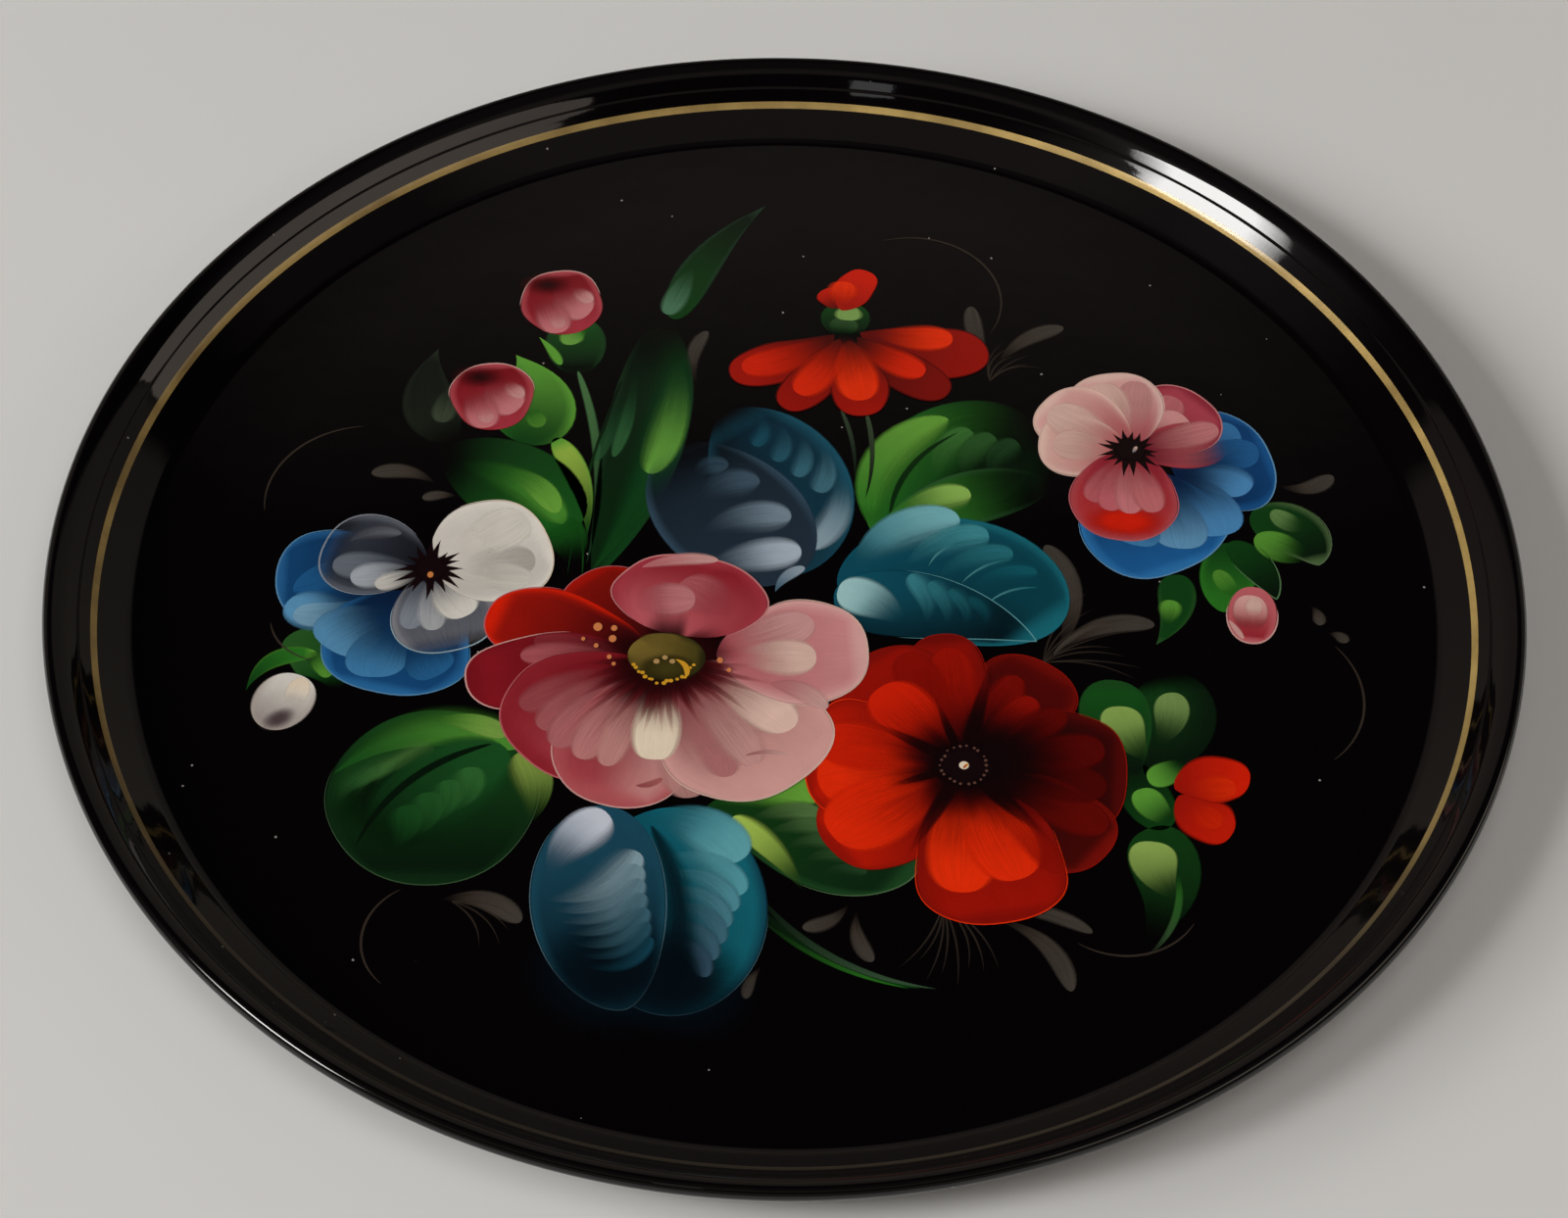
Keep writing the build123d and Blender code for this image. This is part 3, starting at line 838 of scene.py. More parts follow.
def pink_pansy(film):
    heart = (-9.5, 9.5)
    deep, clear, outlined = (8, 30, 62), (76, 138, 190), (100, 150, 190)
    blue_petal(film, (2, 2), (30, 9), 38, (deep, (14, 62, 112)), (24, 84, 142), outlined)
    strokes(film, (
        ((4, 4), (22, 17), 13, (deep, (56, 118, 172)), 2, (1, 0.42), 0.9, 0.85),
        ((6, 3), (27, 9), 12, (deep, (36, 96, 152)), 2, (1, 0.42), 0.9, 0.85),
        ((2, 0), (24, -4), 13, (deep, clear), 2, (1, 0.42), 0.9, 1, (0, 0.6)),
    ))
    blue_petal(film, (-4, 2), (2, -35), 42, (deep, (28, 92, 152)), (44, 114, 174), outlined,
               bend=-3, taper=(0.5, 0.4))
    strokes(film, (
        ((2, 2), (14, -22), 18, (deep, clear), 2, (1, 0.4), 0.8, 0.95),
        ((0, -4), (3, -27), 16, (deep, (104, 160, 200)), 1, (1, 0.4), 0.9, 0.8),
        ((-6, -12), (-10, -26), 13, (deep, (70, 134, 184)), 0, (1, 0.4), 0.9, 0.8),
    ))
    petal(film, heart, 42, 1, 30, 27, ((120, 24, 40), (170, 66, 80)), edge=(140, 40, 56),
          line=(PINK, 0.5), waves=0.03)
    touches(film, heart, (
        (56, 4, 25, 12, (196, 110, 114), 0.8), (40, 3, 21, 13, (216, 150, 148), 0.9),
    ))
    petal(film, heart, 8, 1, 28, 18, ((110, 20, 36), ROSE), tip=0.6, edge=ROSE_RED, cover=0.9)
    touch(film, heart, 20, 4, 27, 10, (206, 128, 130), cover=0.8)
    petal(film, heart, 100, 1, 30, 27, ((166, 78, 84), PALE_PINK), edge=(222, 186, 176),
          line=(SHELL, 0.5), waves=0.02)
    touches(film, heart, (
        (84, 5, 27, 11, (208, 148, 144), 0.7), (108, 4, 27, 14, (228, 188, 176), 0.75),
    ))
    petals(film, heart, (
        (142, 1, 30, 26, ((170, 84, 88), PALE_PINK), SHELL, 0.02),
        (174, 1, 26, 24, ((176, 92, 94), (216, 170, 160)), SHELL),
    ), line=(SHELL, 0.5))
    touches(film, heart, (
        (146, 4, 27, 14, (232, 196, 184)), (174, 4, 22, 13, (224, 184, 172)),
    ), cover=0.75)
    petal(film, heart, 262, 1, 34, 30, ((140, 34, 48), (180, 50, 50)), edge=(172, 70, 76),
          line=(ROSE, 0.5, 0.2), taper=(0.5, 0.42), waves=0.03)
    glow(film, ray(heart, 264, 27), 13, ((214, 32, 10), (200, 30, 12)), inner=0.3, squash=0.55,
         cover=0.95)
    touches(film, heart, (
        (238, 2, 23, 10, ROSE), (252, 2, 24, 10, (200, 104, 112)), (267, 2, 24, 10, (210, 126, 130)),
        (284, 2, 24, 10, (206, 116, 120)),
    ), cover=0.85)
    whiskers(film, heart, 17, 10, INK)
    stroke(film, (heart[0] + 0.6, heart[1] - 1), (heart[0] + 1.8, heart[1] + 1.4), 1.3, (ASH, SHELL),
           cover=0.8)


def red_side_flower(film):
    heart = (-3.5, 14)
    for angle, far, width, bend, tints in (
        (349, 42, 20, -3, (DEEP_RED, (150, 17, 6))), (321, 38, 15, -2, ((60, 6, 4), (124, 13, 6))),
        (207, 38, 16, 3, ((66, 7, 4), (160, 19, 6))), (240, 36, 14, 1.5, ((66, 7, 4), (150, 17, 6))),
        (279, 34, 17, 0, ((66, 7, 4), (160, 19, 6))),
    ):
        petal(film, heart, angle, 4, far, width, tints, bend=bend, taper=(0.8, 0.45),
              line=(DEEP_RED, 0.4), waves=0.04)
    touches(film, heart, (
        (356, 7, 31, 11, FLAME, 0.9, -1), (324, 4, 28, 11, (224, 40, 8), 0.9, -1.5),
        (279, 2, 28, 14, FLAME, 0.9), (241, 2, 29, 12, (226, 42, 8), 0.9, 1.5),
        (207, 5, 34, 12, (214, 36, 7), 0.9, 2.5),
    ), soft=1.8)


def red_tuft(film):
    petal(film, (-1, -7), 122, 0, 9, 9, (DEEP_RED, (190, 26, 6)), waves=0.06)
    petal(film, (-1, -8), 66, 0, 18, 12, (BRICK, (206, 30, 6)), waves=0.06)
    touch(film, (-2, -8), 80, 1, 12, 10, FLAME, cover=0.85, soft=2)


def side_flower_calyx(film):
    strokes(film, (
        ((0, -9), (0, 5), 15, (BLACK_GREEN, FOREST), 0, (0.5, 0.4), 0.3),
        ((-1, -8), (0, -1), 9, (FOREST, (58, 88, 50)), 0, (0.5, 0.4), 0.6, 0.7),
    ))
    touch(film, (1, 3), 268, -2, 5, 9, (128, 166, 88), feather=0.3, cover=0.9)


def pink_bud(film, turn, hollow):
    """A closed pink bud, turned by degrees: a dark hollow at its top, at a distance to the side, and
    light touches at its foot."""
    c = math.cos(math.radians(turn))
    s = math.sin(math.radians(turn))

    def at(x, y):
        return (c * x - s * y, s * x + c * y)

    stroke(film, at(0, -13), at(0, 13), 24, ((164, 50, 62), (118, 14, 22)), taper=(0.46, 0.42),
           steps=(24, 15), edge=(176, 72, 80), edge_reach=0.2, side_tint=((124, 16, 26), 1, 0.6),
           waves=0.04, line=(PALE_PINK, 0.5, 0.5))
    glow(film, at(hollow, 8), 9, ((34, 3, 6), (104, 10, 18)), inner=0.05, squash=0.6, cover=0.85)
    strokes(film, (
        (at(1, 8), at(7, -6), 13, ((150, 34, 46), (208, 128, 132)), -1.5, (0.8, 0.42), 0.8, 0.9, (0, 0),
         1.8),
        (at(5, 6), at(9, -1), 6, ((196, 104, 110), (222, 164, 160)), -0.8, (0.7, 0.5), 0.7, 0.7, (0, 0),
         1.6),
        (at(-7, 5), at(-3, -12), 11, (CRIMSON, (206, 122, 126)), 1, (0.8, 0.42), 0.8, 0.9, (0, 0), 1.6),
        (at(-3, -3), at(-2, -10), 6, ((204, 120, 124), (220, 158, 156)), 0, (0.7, 0.5), 0.8, 0.6, (0, 0),
         1.6),
    ))


def upper_pink_bud(film):
    pink_bud(film, 12, -3)


def lower_pink_bud(film):
    pink_bud(film, 8, -3)


def white_bud(film):
    stroke(film, (4, 9), (-3, -9.5), 17, (CHALK, (150, 140, 136)), taper=(0.45, 0.5), steps=(20, 11),
           edge=(170, 160, 152))
    stroke(film, (5, 8), (3, -3), 7, (CREAM, CHALK), taper=(0.5, 0.6), tip=0.6, cover=0.9)
    glow(film, (0, -6), 6, ((74, 58, 62), (110, 96, 96)), inner=0.2, squash=0.6, turn=35, cover=0.85)


def pink_side_bud(film):
    stroke(film, (2, 10), (0, -10), 14, (ROSE, CRIMSON), taper=(0.45, 0.45), steps=(18, 9), edge=ROSE,
           line=(PALE_PINK, 0.6))
    stroke(film, (0, -6), (1, 7), 10, (CRIMSON, PALE_PINK), taper=(0.5, 0.4), feather=0.5)
    stroke(film, (1, -1), (2, 6), 5, (SHELL, SHELL), feather=0.6, cover=0.7)
    stroke(film, (-5.5, -2), (-2, -8.5), 2.2, (PALE_PINK, PALE_PINK), cover=0.8)


def red_tulip_bud(film):
    petal(film, (-9, 1), 316, 0, 18, 15, (BRICK, (196, 28, 6)), bend=-1, waves=0.06, soft=1.2)
    petal(film, (-10, 3), 8, 0, 20, 16, (BRICK, (210, 31, 6)), bend=2, waves=0.05, soft=1.2)
    touch(film, (-8, 3), 4, 0, 14, 10, FLAME, cover=0.6, soft=2.4)
    touch(film, (-7, 0), 312, 0, 12, 9, (226, 42, 8), cover=0.6, soft=2.4)


def round_leaf(film):
    stroke(film, (-1, 28), (0, -29), 55, ((22, 66, 24), (6, 24, 10)), taper=(0.48, 0.48), steps=(34, 19),
           edge=(14, 42, 18), edge_reach=0.15, line=((60, 88, 58), 0.35, 0.3), waves=0.02)
    strokes(film, (
        ((-27, 6), (23, 17), 15, ((24, 76, 26), (76, 140, 48)), 11, (1, 0.5), 0, 1, (0, 1.3)),
        ((-2, 25), (18, 20), 7, (GRASS, (130, 170, 76)), 1.5, (0.9, 0.45), 0.6, 0.8),
    ))
    glow(film, (-11, 1), 21, ((4, 16, 6), (8, 34, 12)), inner=0.15, squash=0.55, turn=32, cover=0.9)
    comb(film, ((-25, -5), (-11, 5)), ((-16, 8), (-1, 15)), 4, (8, 8), ((46, 96, 46), (92, 142, 70)),
         bend=3, sides=(0, 1.5), cover=0.9)
    stroke(film, (-15, -19), (19, 14), 30, ((8, 32, 12), (26, 80, 34)), 4, taper=(0.6, 0.5),
           sides=(0.5, 0.3), feather=0.3, cover=0.9)
    comb(film, ((-10, -18), (4, -6)), ((-8, -4), (8, 9)), 4, (10, 10), ((30, 88, 36), (58, 122, 58)),
         bend=-2, cover=0.6)
    strokes(film, (
        ((-19, -17), (14, 17), 2.6, ((5, 20, 8), (5, 20, 8)), 6, (0.7, 0.5), 0, 0.85),
        ((25, -10), (21, 14), 12, ((40, 84, 30), (132, 156, 70)), -3, (1, 0.42), 0.7, 0.9, (0, 0.8)),
    ))


def slate_leaf(film):
    stroke(film, (9, -28), (-8, 32), 40, ((20, 56, 72), (10, 44, 60)), -9, taper=(0.55, 0.55),
           steps=(34, 17), side_tint=((8, 16, 22), 1, 0.95), edge=(28, 84, 104), edge_reach=0.3, tip=0.2,
           cover=0.97)
    stroke(film, (25, 12), (17, -18), 10, ((34, 96, 116), (140, 162, 174)), 4, taper=(0.9, 0.45),
           feather=0.6, sides=(0.8, 0.4), cover=0.95, soft=1.2)
    comb(film, ((20, 21), (2, 33)), ((19, 3), (1, 20)), 4, (8, 6), ((78, 130, 148), (30, 84, 104)),
         bend=2, sides=(0.9, 0), cover=0.75)
    stroke(film, (15, -27), (-21, 20), 42, ((34, 48, 62), (22, 34, 44)), 3, taper=(0.5, 0.55),
           steps=(34, 17), tip=0.35, edge=(54, 78, 96), edge_reach=0.12)
    strokes(film, (
        ((-13, -26), (15, -19), 13, ((80, 100, 118), (170, 184, 198)), 1, (0.9, 0.42), 0.8, 1,
         (0.5, 0.5), 2),
        ((-14, -14), (12, -7), 13, ((70, 92, 110), (126, 146, 162)), 3, (1, 0.45), 0.9, 0.85, (0.9, 0.4),
         2.2),
        ((-14, -2), (3, 6), 12, ((60, 82, 100), (74, 98, 116)), 3, (0.9, 0.5), 0.9, 0.7, (0.9, 0.4), 2.4),
        ((-15, 8), (-6, 12), 8, (STEEL_BLUE, STEEL_BLUE), 2, (0.7, 0.5), 0.9, 0.35, (0, 0), 2.4),
        ((16, -25), (8, -34), 4, ((150, 166, 180), STEEL_BLUE), -1.5, (0.5, 1), 0, 0.85),
    ))


def teal_leaf(film):
    stroke(film, (-29, -4), (28, -20), 46, ((12, 74, 92), (8, 62, 74)), 12, taper=(0.65, 0.5),
           steps=(34, 19), edge=(24, 104, 118), edge_reach=0.2, side_tint=((4, 18, 24), -1, 0.95))
    stroke(film, (-25, 1), (5, 21), 16, ((24, 98, 116), (120, 184, 192)), 5, taper=(0.9, 0.45),
           feather=0.4, sides=(1.1, 0), cover=0.95, soft=1.4)
    comb(film, ((-11, 3), (6, -6)), ((13, 15), (26, 2)), 3, (12, 8), ((70, 154, 164), (20, 96, 110)),
         bend=3, sides=(1.2, 0), cover=0.8)
    for low, high in (((-4, 4), (6, 13)), ((5, -2), (19, 7)), ((12, -9), (26, -3))):
        stroke(film, low, high, 1, ((90, 160, 166), (40, 120, 130)), 1.8, taper=(1, 0.8), cover=0.6)
    stroke(film, (-30, -10), (25, -22), 24, ((14, 80, 98), (4, 20, 26)), 5, taper=(0.4, 0.9),
           steps=(30, 13), line=((96, 160, 168), 0.4, 0.3), side_tint=((4, 26, 34), -1, 0.8), tip=0.3)
    comb(film, ((-5, -17), (11, -18)), ((-9, 1), (7, -7)), 4, (8, 6), ((64, 144, 156), (20, 86, 98)),
         bend=-2.5, sides=(1, 0), cover=0.75)
    stroke(film, (-11, -17), (-29, -5), 14, ((20, 92, 108), (160, 202, 204)), -2, taper=(0.9, 0.4),
           feather=0.7, soft=1.4)


def broad_leaf(film):
    film.centre = film.centre + (6, -3)  # the painted leaf lies a little off its CAD film
    stroke(film, (-22, -25), (24, 16), 40, ((24, 84, 26), BLACK_GREEN), 9, taper=(0.8, 0.5),
           steps=(34, 19), side_tint=((46, 116, 36), 1, 0.7), tip=0.5, edge=(34, 92, 34), edge_reach=0.2)
    glow(film, (9, -3), 24, ((7, 18, 8), (10, 36, 14)), inner=0.25, squash=0.5, turn=32, cover=0.9)
    stroke(film, (-23, -22), (-2, 21), 16, ((44, 116, 34), (104, 162, 60)), 8, taper=(0.8, 0.55),
           feather=0.2, sides=(1.1, 0), cover=0.95, soft=1.6)
    comb(film, ((-5, -3), (11, -3)), ((5, 16), (18, 12)), 3, (11, 9), ((66, 124, 56), (34, 70, 36)),
         bend=3, sides=(1.1, 0), cover=0.8)
    stroke(film, (-19, -18), (1, 16), 2.2, ((8, 34, 12), (8, 34, 12)), 5, taper=(0.8, 0.9), cover=0.7)
    stroke(film, (-23, -26), (27, -4), 20, ((50, 122, 38), BLACK_GREEN), 5, taper=(0.8, 0.6), tip=0.5,
           steps=(30, 13), edge=(40, 80, 42), edge_reach=0.2)
    stroke(film, (-19, -20), (4, -8), 11, (LEAF, (140, 182, 86)), 3, taper=(1.1, 0.42), feather=0.8,
           sides=(1, 0), soft=1.4)


def blue_lower_leaf(film):
    stroke(film, (2, 31), (4, -32), 50, ((12, 84, 100), (5, 28, 40)), 5, taper=(0.5, 0.5), steps=(34, 19),
           edge=(14, 58, 74), edge_reach=0.12, side_tint=((22, 116, 132), 1, 0.6),
           line=((70, 106, 120), 0.35, 0.5))
    stroke(film, (0, 29), (25, 15), 17, ((20, 100, 118), (98, 170, 180)), 4, taper=(0.9, 0.42),
           feather=0.6, sides=(0.6, 0.2), cover=0.95, soft=1.4)
    glow(film, (10, -22), 24, ((3, 12, 20), (4, 20, 30)), inner=0.15, squash=0.8, turn=-30, cover=0.95)
    comb(film, ((5, 16), (6, -10)), ((25, 4), (17, -21)), 6, (11, 7), ((88, 162, 174), (52, 80, 100)),
         bend=4, sides=(1.5, 0), cover=0.95)
    stroke(film, (2, 26), (8, -26), 12, ((4, 22, 30), (3, 16, 24)), 5, sides=(1, 1), cover=0.7)
    stroke(film, (-9, 32), (-2, -31), 35, ((26, 72, 92), (4, 22, 32)), -5, taper=(0.48, 0.58),
           steps=(34, 17), edge=(24, 70, 88), edge_reach=0.15, line=((84, 116, 130), 0.35, 0.1))
    glow(film, (-6, -20), 25, ((3, 14, 22), (4, 22, 32)), inner=0.15, squash=0.85, cover=0.9)
    comb(film, ((-25, 2), (-14, -18)), ((-2, 18), (3, -9)), 7, (11, 6), ((138, 166, 178), (20, 66, 84)),
         bend=-4, sides=(0, 1.5), cover=0.95)
    stroke(film, (-24, 9), (-9, 29), 14, ((60, 96, 120), (198, 204, 216)), 2, taper=(0.9, 0.4),
           feather=0.7, sides=(0.6, 0.2), soft=1.4)


def green_lower_leaf(film):
    stroke(film, (-25, 8), (29, -13), 35, ((16, 56, 18), (12, 40, 18)), 4, taper=(0.8, 0.55),
           steps=(34, 17), edge=(30, 70, 34), edge_reach=0.15, line=((84, 116, 78), 0.4, 0.5))
    stroke(film, (-24, 8), (4, 11), 13, ((34, 96, 28), (104, 164, 58)), 4, taper=(0.9, 0.45), feather=0.4,
           sides=(0.8, 0))
    comb(film, ((-14, 4), (4, -14)), ((5, 6), (17, -12)), 5, (7, 5), ((88, 124, 70), (36, 70, 38)),
         bend=2, sides=(0.8, 0), cover=0.85)
    stroke(film, (1, -19), (-18, 5), 8, ((34, 76, 26), (166, 196, 84)), -2, taper=(1.1, 0.45),
           feather=0.5, sides=(0.6, 0))


def lance_leaf(film):
    stroke(film, (-12, -50), (4, 50), 24, ((10, 38, 14), (10, 30, 16)), -4, taper=(0.9, 0.6),
           steps=(40, 15), side_tint=((16, 66, 26), -1, 0.9), tip=0.3, edge=(24, 52, 30), edge_reach=0.15)
    stroke(film, (-12, -46), (8, 40), 15, ((16, 64, 24), (16, 66, 34)), -5, taper=(1, 0.6), tip=0.4,
           sides=(0, 1), cover=0.9)
    strokes(film, (
        ((8, 40), (2, -10), 12, ((16, 70, 34), (100, 160, 62)), 3, (0.9, 0.42), 0.8, 0.95, (0.9, 0.1),
         1.6),
        ((-3, 30), (-8, -4), 5, ((24, 74, 40), (58, 112, 66)), 1, (1, 0.5), 0.8, 0.6, (0, 0), 1.4),
        ((-6, 24), (-13, -6), 4, ((20, 66, 34), (46, 96, 56)), 1, (1, 0.5), 0.8, 0.5),
    ))


def dark_upper_leaf(film):
    stroke(film, (-11, -24), (15, 24), 12, (FOREST, BLACK_GREEN), 4, taper=(0.5, 1.1), edge=(34, 60, 42),
           cover=0.9)
    touch(film, (-8, -8), 250, -6, 15, 8, (84, 130, 98), cover=0.75)


def inner_green_leaf(film):
    stroke(film, (-21, 12), (17, -17), 30, (BLACK_GREEN, (26, 92, 28)), 4, taper=(0.6, 0.5),
           steps=(26, 15), side_tint=((20, 62, 24), 1, 0.5), feather=0.35)
    strokes(film, (
        ((-16, 8), (15, -14), 13, ((28, 90, 28), (74, 142, 48)), 4, (0.7, 0.5), 0.6, 0.9, (0.8, 0.3)),
        ((-4, 6), (13, -10), 8, ((60, 128, 44), (116, 176, 66)), 3, (0.8, 0.5), 0.7, 0.8),
    ))
    stroke(film, (12, -12), (18, -30), 12, ((26, 92, 28), BLACK_GREEN), 2, taper=(0.5, 0.9), feather=0.4,
           tip=0.6, cover=0.8)


def bud_leaf(film):
    stroke(film, (-8, -14), (-9, 19), 26, (FOREST, GRASS), -6, taper=(0.5, 1.2), steps=(24, 11),
           edge=GRASS, side_tint=(LEAF, 1, 0.5))
    stroke(film, (-4, -2), (0, -9), 6, (LEAF, GRASS), feather=0.5, cover=0.6)


def sprout_leaf(film):
    stroke(film, (10, -24), (-1, 13), 8, (FOREST, LIME), -3, taper=(1.3, 0.5), edge=GRASS)


def shadow_leaf(film):
    stroke(film, (9, -19), (2, 18), 17, ((26, 34, 24), (18, 24, 18)), 5, taper=(0.7, 1.2), feather=0.3,
           cover=0.85, edge=(34, 42, 32), soft=1.2)
    touch(film, (6, -2), 262, -6, 9, 8, (74, 86, 66), cover=0.6, soft=1.6)


def right_leaf(film):
    stroke(film, (-11, 4), (7, -12), 19, (FOREST, BLACK_GREEN), 5, taper=(0.5, 0.7), steps=(22, 11),
           edge=(74, 100, 60), line=((96, 118, 84), 0.4, 0.4))
    stroke(film, (6, -8), (-9, -1), 11, (FOREST, GRASS), 2, feather=0.7, cover=0.85)
    stroke(film, (6, 2), (-4, 8), 7, (FOREST, (110, 150, 84)), 2, feather=0.7, cover=0.7)


def inner_right_leaf(film):
    stroke(film, (2, 12), (-2, -13), 16, (FOREST, LEAF), taper=(0.5, 0.6), steps=(22, 11), edge=LEAF)
    stroke(film, (1, 12), (13, -8), 10, (FOREST, BLACK_GREEN), 2, taper=(0.5, 0.8), cover=0.95,
           line=((86, 120, 80), 0.5, 0.2))
    stroke(film, (2, -8), (-3, 2), 6, (LEAF, GRASS), feather=0.5, cover=0.7)


def small_right_leaf(film):
    stroke(film, (1, 12), (-5, -13), 11, (FOREST, FOREST), 3, taper=(0.4, 1.1), edge=(40, 80, 36))
    touch(film, (-1, -3), 80, -3, 6, 7, GRASS, cover=0.9)


def tulip_upper_leaf(film):
    stroke(film, (0, -17), (6, 17), 24, (BLACK_GREEN, (20, 62, 24)), -5, taper=(0.8, 0.45), tip=0.2,
           side_tint=(BLACK_GREEN, -1, 0.9), cover=0.95)
    stroke(film, (-2, -17), (-7, 15), 20, (BLACK_GREEN, (22, 80, 26)), 2, taper=(0.8, 0.45),
           edge=(24, 70, 26))
    strokes(film, (
        ((2, -13), (-6, 6), 12, ((22, 66, 22), (136, 168, 84)), 2, (1.1, 0.4), 0.7),
        ((3, -8), (8, 11), 10, ((18, 54, 20), (124, 156, 86)), -2, (1.1, 0.45), 0.8, 0.85),
    ))


def tulip_calyx(film):
    strokes(film, (
        ((-9, 14), (2, -10), 14, (BLACK_GREEN, FOREST), 0, (0.7, 0.5), 0, 0.9),
        ((8, 13), (-2, 6), 8, (FOREST, GRASS), 1, (0.7, 0.4), 0.5),
        ((4, -8), (-4, 3), 9, (FOREST, GRASS), 1, (0.7, 0.4), 0.4),
    ))


def tulip_lower_leaf(film):
    stroke(film, (-5, 17), (-8, -20), 19, ((18, 60, 20), BLACK_GREEN), 6, taper=(0.4, 1.1), tip=0.5,
           cover=0.95)
    stroke(film, (2, -6), (-4, 13), 13, ((22, 60, 22), (140, 170, 84)), 2, taper=(1.1, 0.4), feather=0.6)
    stroke(film, (2, 4), (-8, -24), 2.4, (LEAF, (62, 84, 58)), 4, taper=(0.7, 1), feather=0.3, tip=0.4,
           cover=0.7)


def upper_bud_calyx(film):
    stroke(film, (-3, 12), (-1, -11), 18, ((24, 74, 28), BLACK_GREEN), taper=(0.45, 0.55),
           edge=(26, 58, 28), tip=0.3)
    strokes(film, (
        ((-13, 4), (-6, -7), 3.4, (GRASS, GRASS), 0.5, (1.1, 0.5)),
        ((2, 8), (-4, 1), 8, (LEAF, (104, 158, 66)), -2, (0.7, 0.4), 0.5, 1, (0, 0), 1.2),
    ))


def white_bud_calyx(film):
    stroke(film, (14, -8), (-2, 7), 18, (FOREST, (38, 84, 34)), -5, taper=(0.8, 0.6), feather=0.3)
    stroke(film, (-10, -9), (8, 4), 6, (FOREST, LEAF), 5, taper=(1.2, 0.6), edge=GRASS)
    stroke(film, (4, 4), (11, -4), 6, (FOREST, GRASS), 2, feather=0.4, cover=0.8)


def lower_blade(film):
    for lift, width, tint in ((0, 3.2, FOREST), (4, 2.4, (58, 86, 60)), (-3, 1.6, LEAF)):
        stroke(film, (-21, 12 + lift), (22 + lift, -14), width, (BLACK_GREEN, tint), -5 - lift * 0.4,
               taper=(0.7, 0.9), cover=0.9, steps=(26, 5))


def stems():
    """Thin stalks that carry the buds and the side flower."""
    film = Film((0, 0), 1)
    strokes(film, (
        ((-61, 81), (-55, 8), 3, ((74, 116, 70), (20, 48, 24)), 4.5),
        ((-48, 78), (-60, 4), 1.2, (BLACK_GREEN, FOREST), -2),
        ((-66, 50), (-56, 2), 1.4, (LEAF, FOREST), 3),
        ((15, 68), (19, 40), 1.6, ((52, 66, 50), BLACK_GREEN), 1.5),
        ((22, 68), (22, 34), 1.8, ((60, 74, 52), BLACK_GREEN), 2),
        ((-66, 34), (-68, 4), 1, ((60, 80, 56), BLACK_GREEN), -3),
        ((60, -18), (72, 6), 0.8, (UMBER, UMBER), 4),
        ((104, -52), (110, -34), 0.6, (UMBER, FOREST), -3),
    ), taper=(0.4, 0.8), cover=0.9, steps=(26, 5))
    build(film, "stems", paint_soft)


def sprig(film, foot, tip, width, bend):
    """A grey-brown comma stroke: thin at its foot, full and round at its tip."""
    stroke(film, foot, tip, width, (UMBER, (82, 75, 68)), bend, (1.2, 0.5), 0.5, 0.62, soft=1)


def grass(film, foot, low, high, count, reach):
    """A fan of hair-thin grass strokes."""
    for angle in np.linspace(low, high, count):
        tip = ray(foot, angle, reach * rng.uniform(0.7, 1.0))
        stroke(film, foot, tip, 0.8, (UMBER, UMBER), rng.uniform(1.5, 3.0), (0.6, 1), cover=0.55,
               steps=(16, 3))


def sprigs():
    """The pale comma strokes and grasses round the bouquet."""
    film = Film((0, 0), 0)
    for foot, tip, width, bend in (
        ((73, -22), (72, 18), 8, -6), ((73, -22), (101, -10), 7, 5), ((58, 84), (53, 110), 6, 1),
        ((60, 86), (80, 102), 6, 3), ((99, -8), (73, -21), 2, -4),
        ((-98, 36), (-117, 40), 6, -3), ((-92, 32), (-102, 31), 4, -1), ((-26, 76), (-24, 98), 5, 3),
        ((138, 42), (154, 46), 6, -3), ((54, -108), (74, -130), 6, 5), ((46, -106), (80, -112), 5, 4),
        ((18, -104), (6, -112), 5, 2), ((20, -106), (24, -122), 5, -2), ((-88, -106), (-66, -112), 7, 4),
        ((-4, -124), (-8, -134), 3.5, -1), ((144, -2), (146, -9), 4, 1), ((148, -12), (153, -15), 4, 1),
    ):
        sprig(film, foot, tip, width, bend)
    grass(film, (70, -24), -12, 62, 9, 29)
    grass(film, (58, 80), 20, 75, 6, 18)
    grass(film, (42, -104), 240, 305, 8, 27)
    grass(film, (-84, -106), 300, 345, 4, 22)
    for centre, reach, low, high in (
        ((128, -34), 28, -50, 40), ((36, 112), 26, -30, 110), ((-118, 30), 28, 95, 190),
        ((-124, -12), 16, 190, 260), ((-88, -118), 18, 120, 230), ((88, -98), 21, 235, 330),
    ):
        turn = np.radians(np.linspace(low, high, 40))
        path = np.c_[centre[0] + reach * np.cos(turn), centre[1] + reach * np.sin(turn)]
        hairline(film, path, UMBER, 0.7, 0.55)
    build(film, "grass_sprigs", paint_soft)


# ---------------------------------------------------------------- the tray, then its painting
paint_rich = oil_paint("oil_paint_rich", 0.22)
paint_soft = oil_paint("oil_paint_soft", 0.16)
finishes = {
    "face_lacquer": lacquer("black_lacquer", 1.0, 0.5),
    "back_lacquer": lacquer("back_lacquer", 0.6, 0.2),
    "gold_line": gold_leaf(),
    "tray_pan": bare_steel("pan_steel", (150, 150, 152)),
    "rim_wire": bare_steel("wire_steel", (158, 158, 160)),
}
tray_shells()
for node, finish in finishes.items():
    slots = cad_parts[node].data.materials
    slots.clear()
    slots.append(finish)

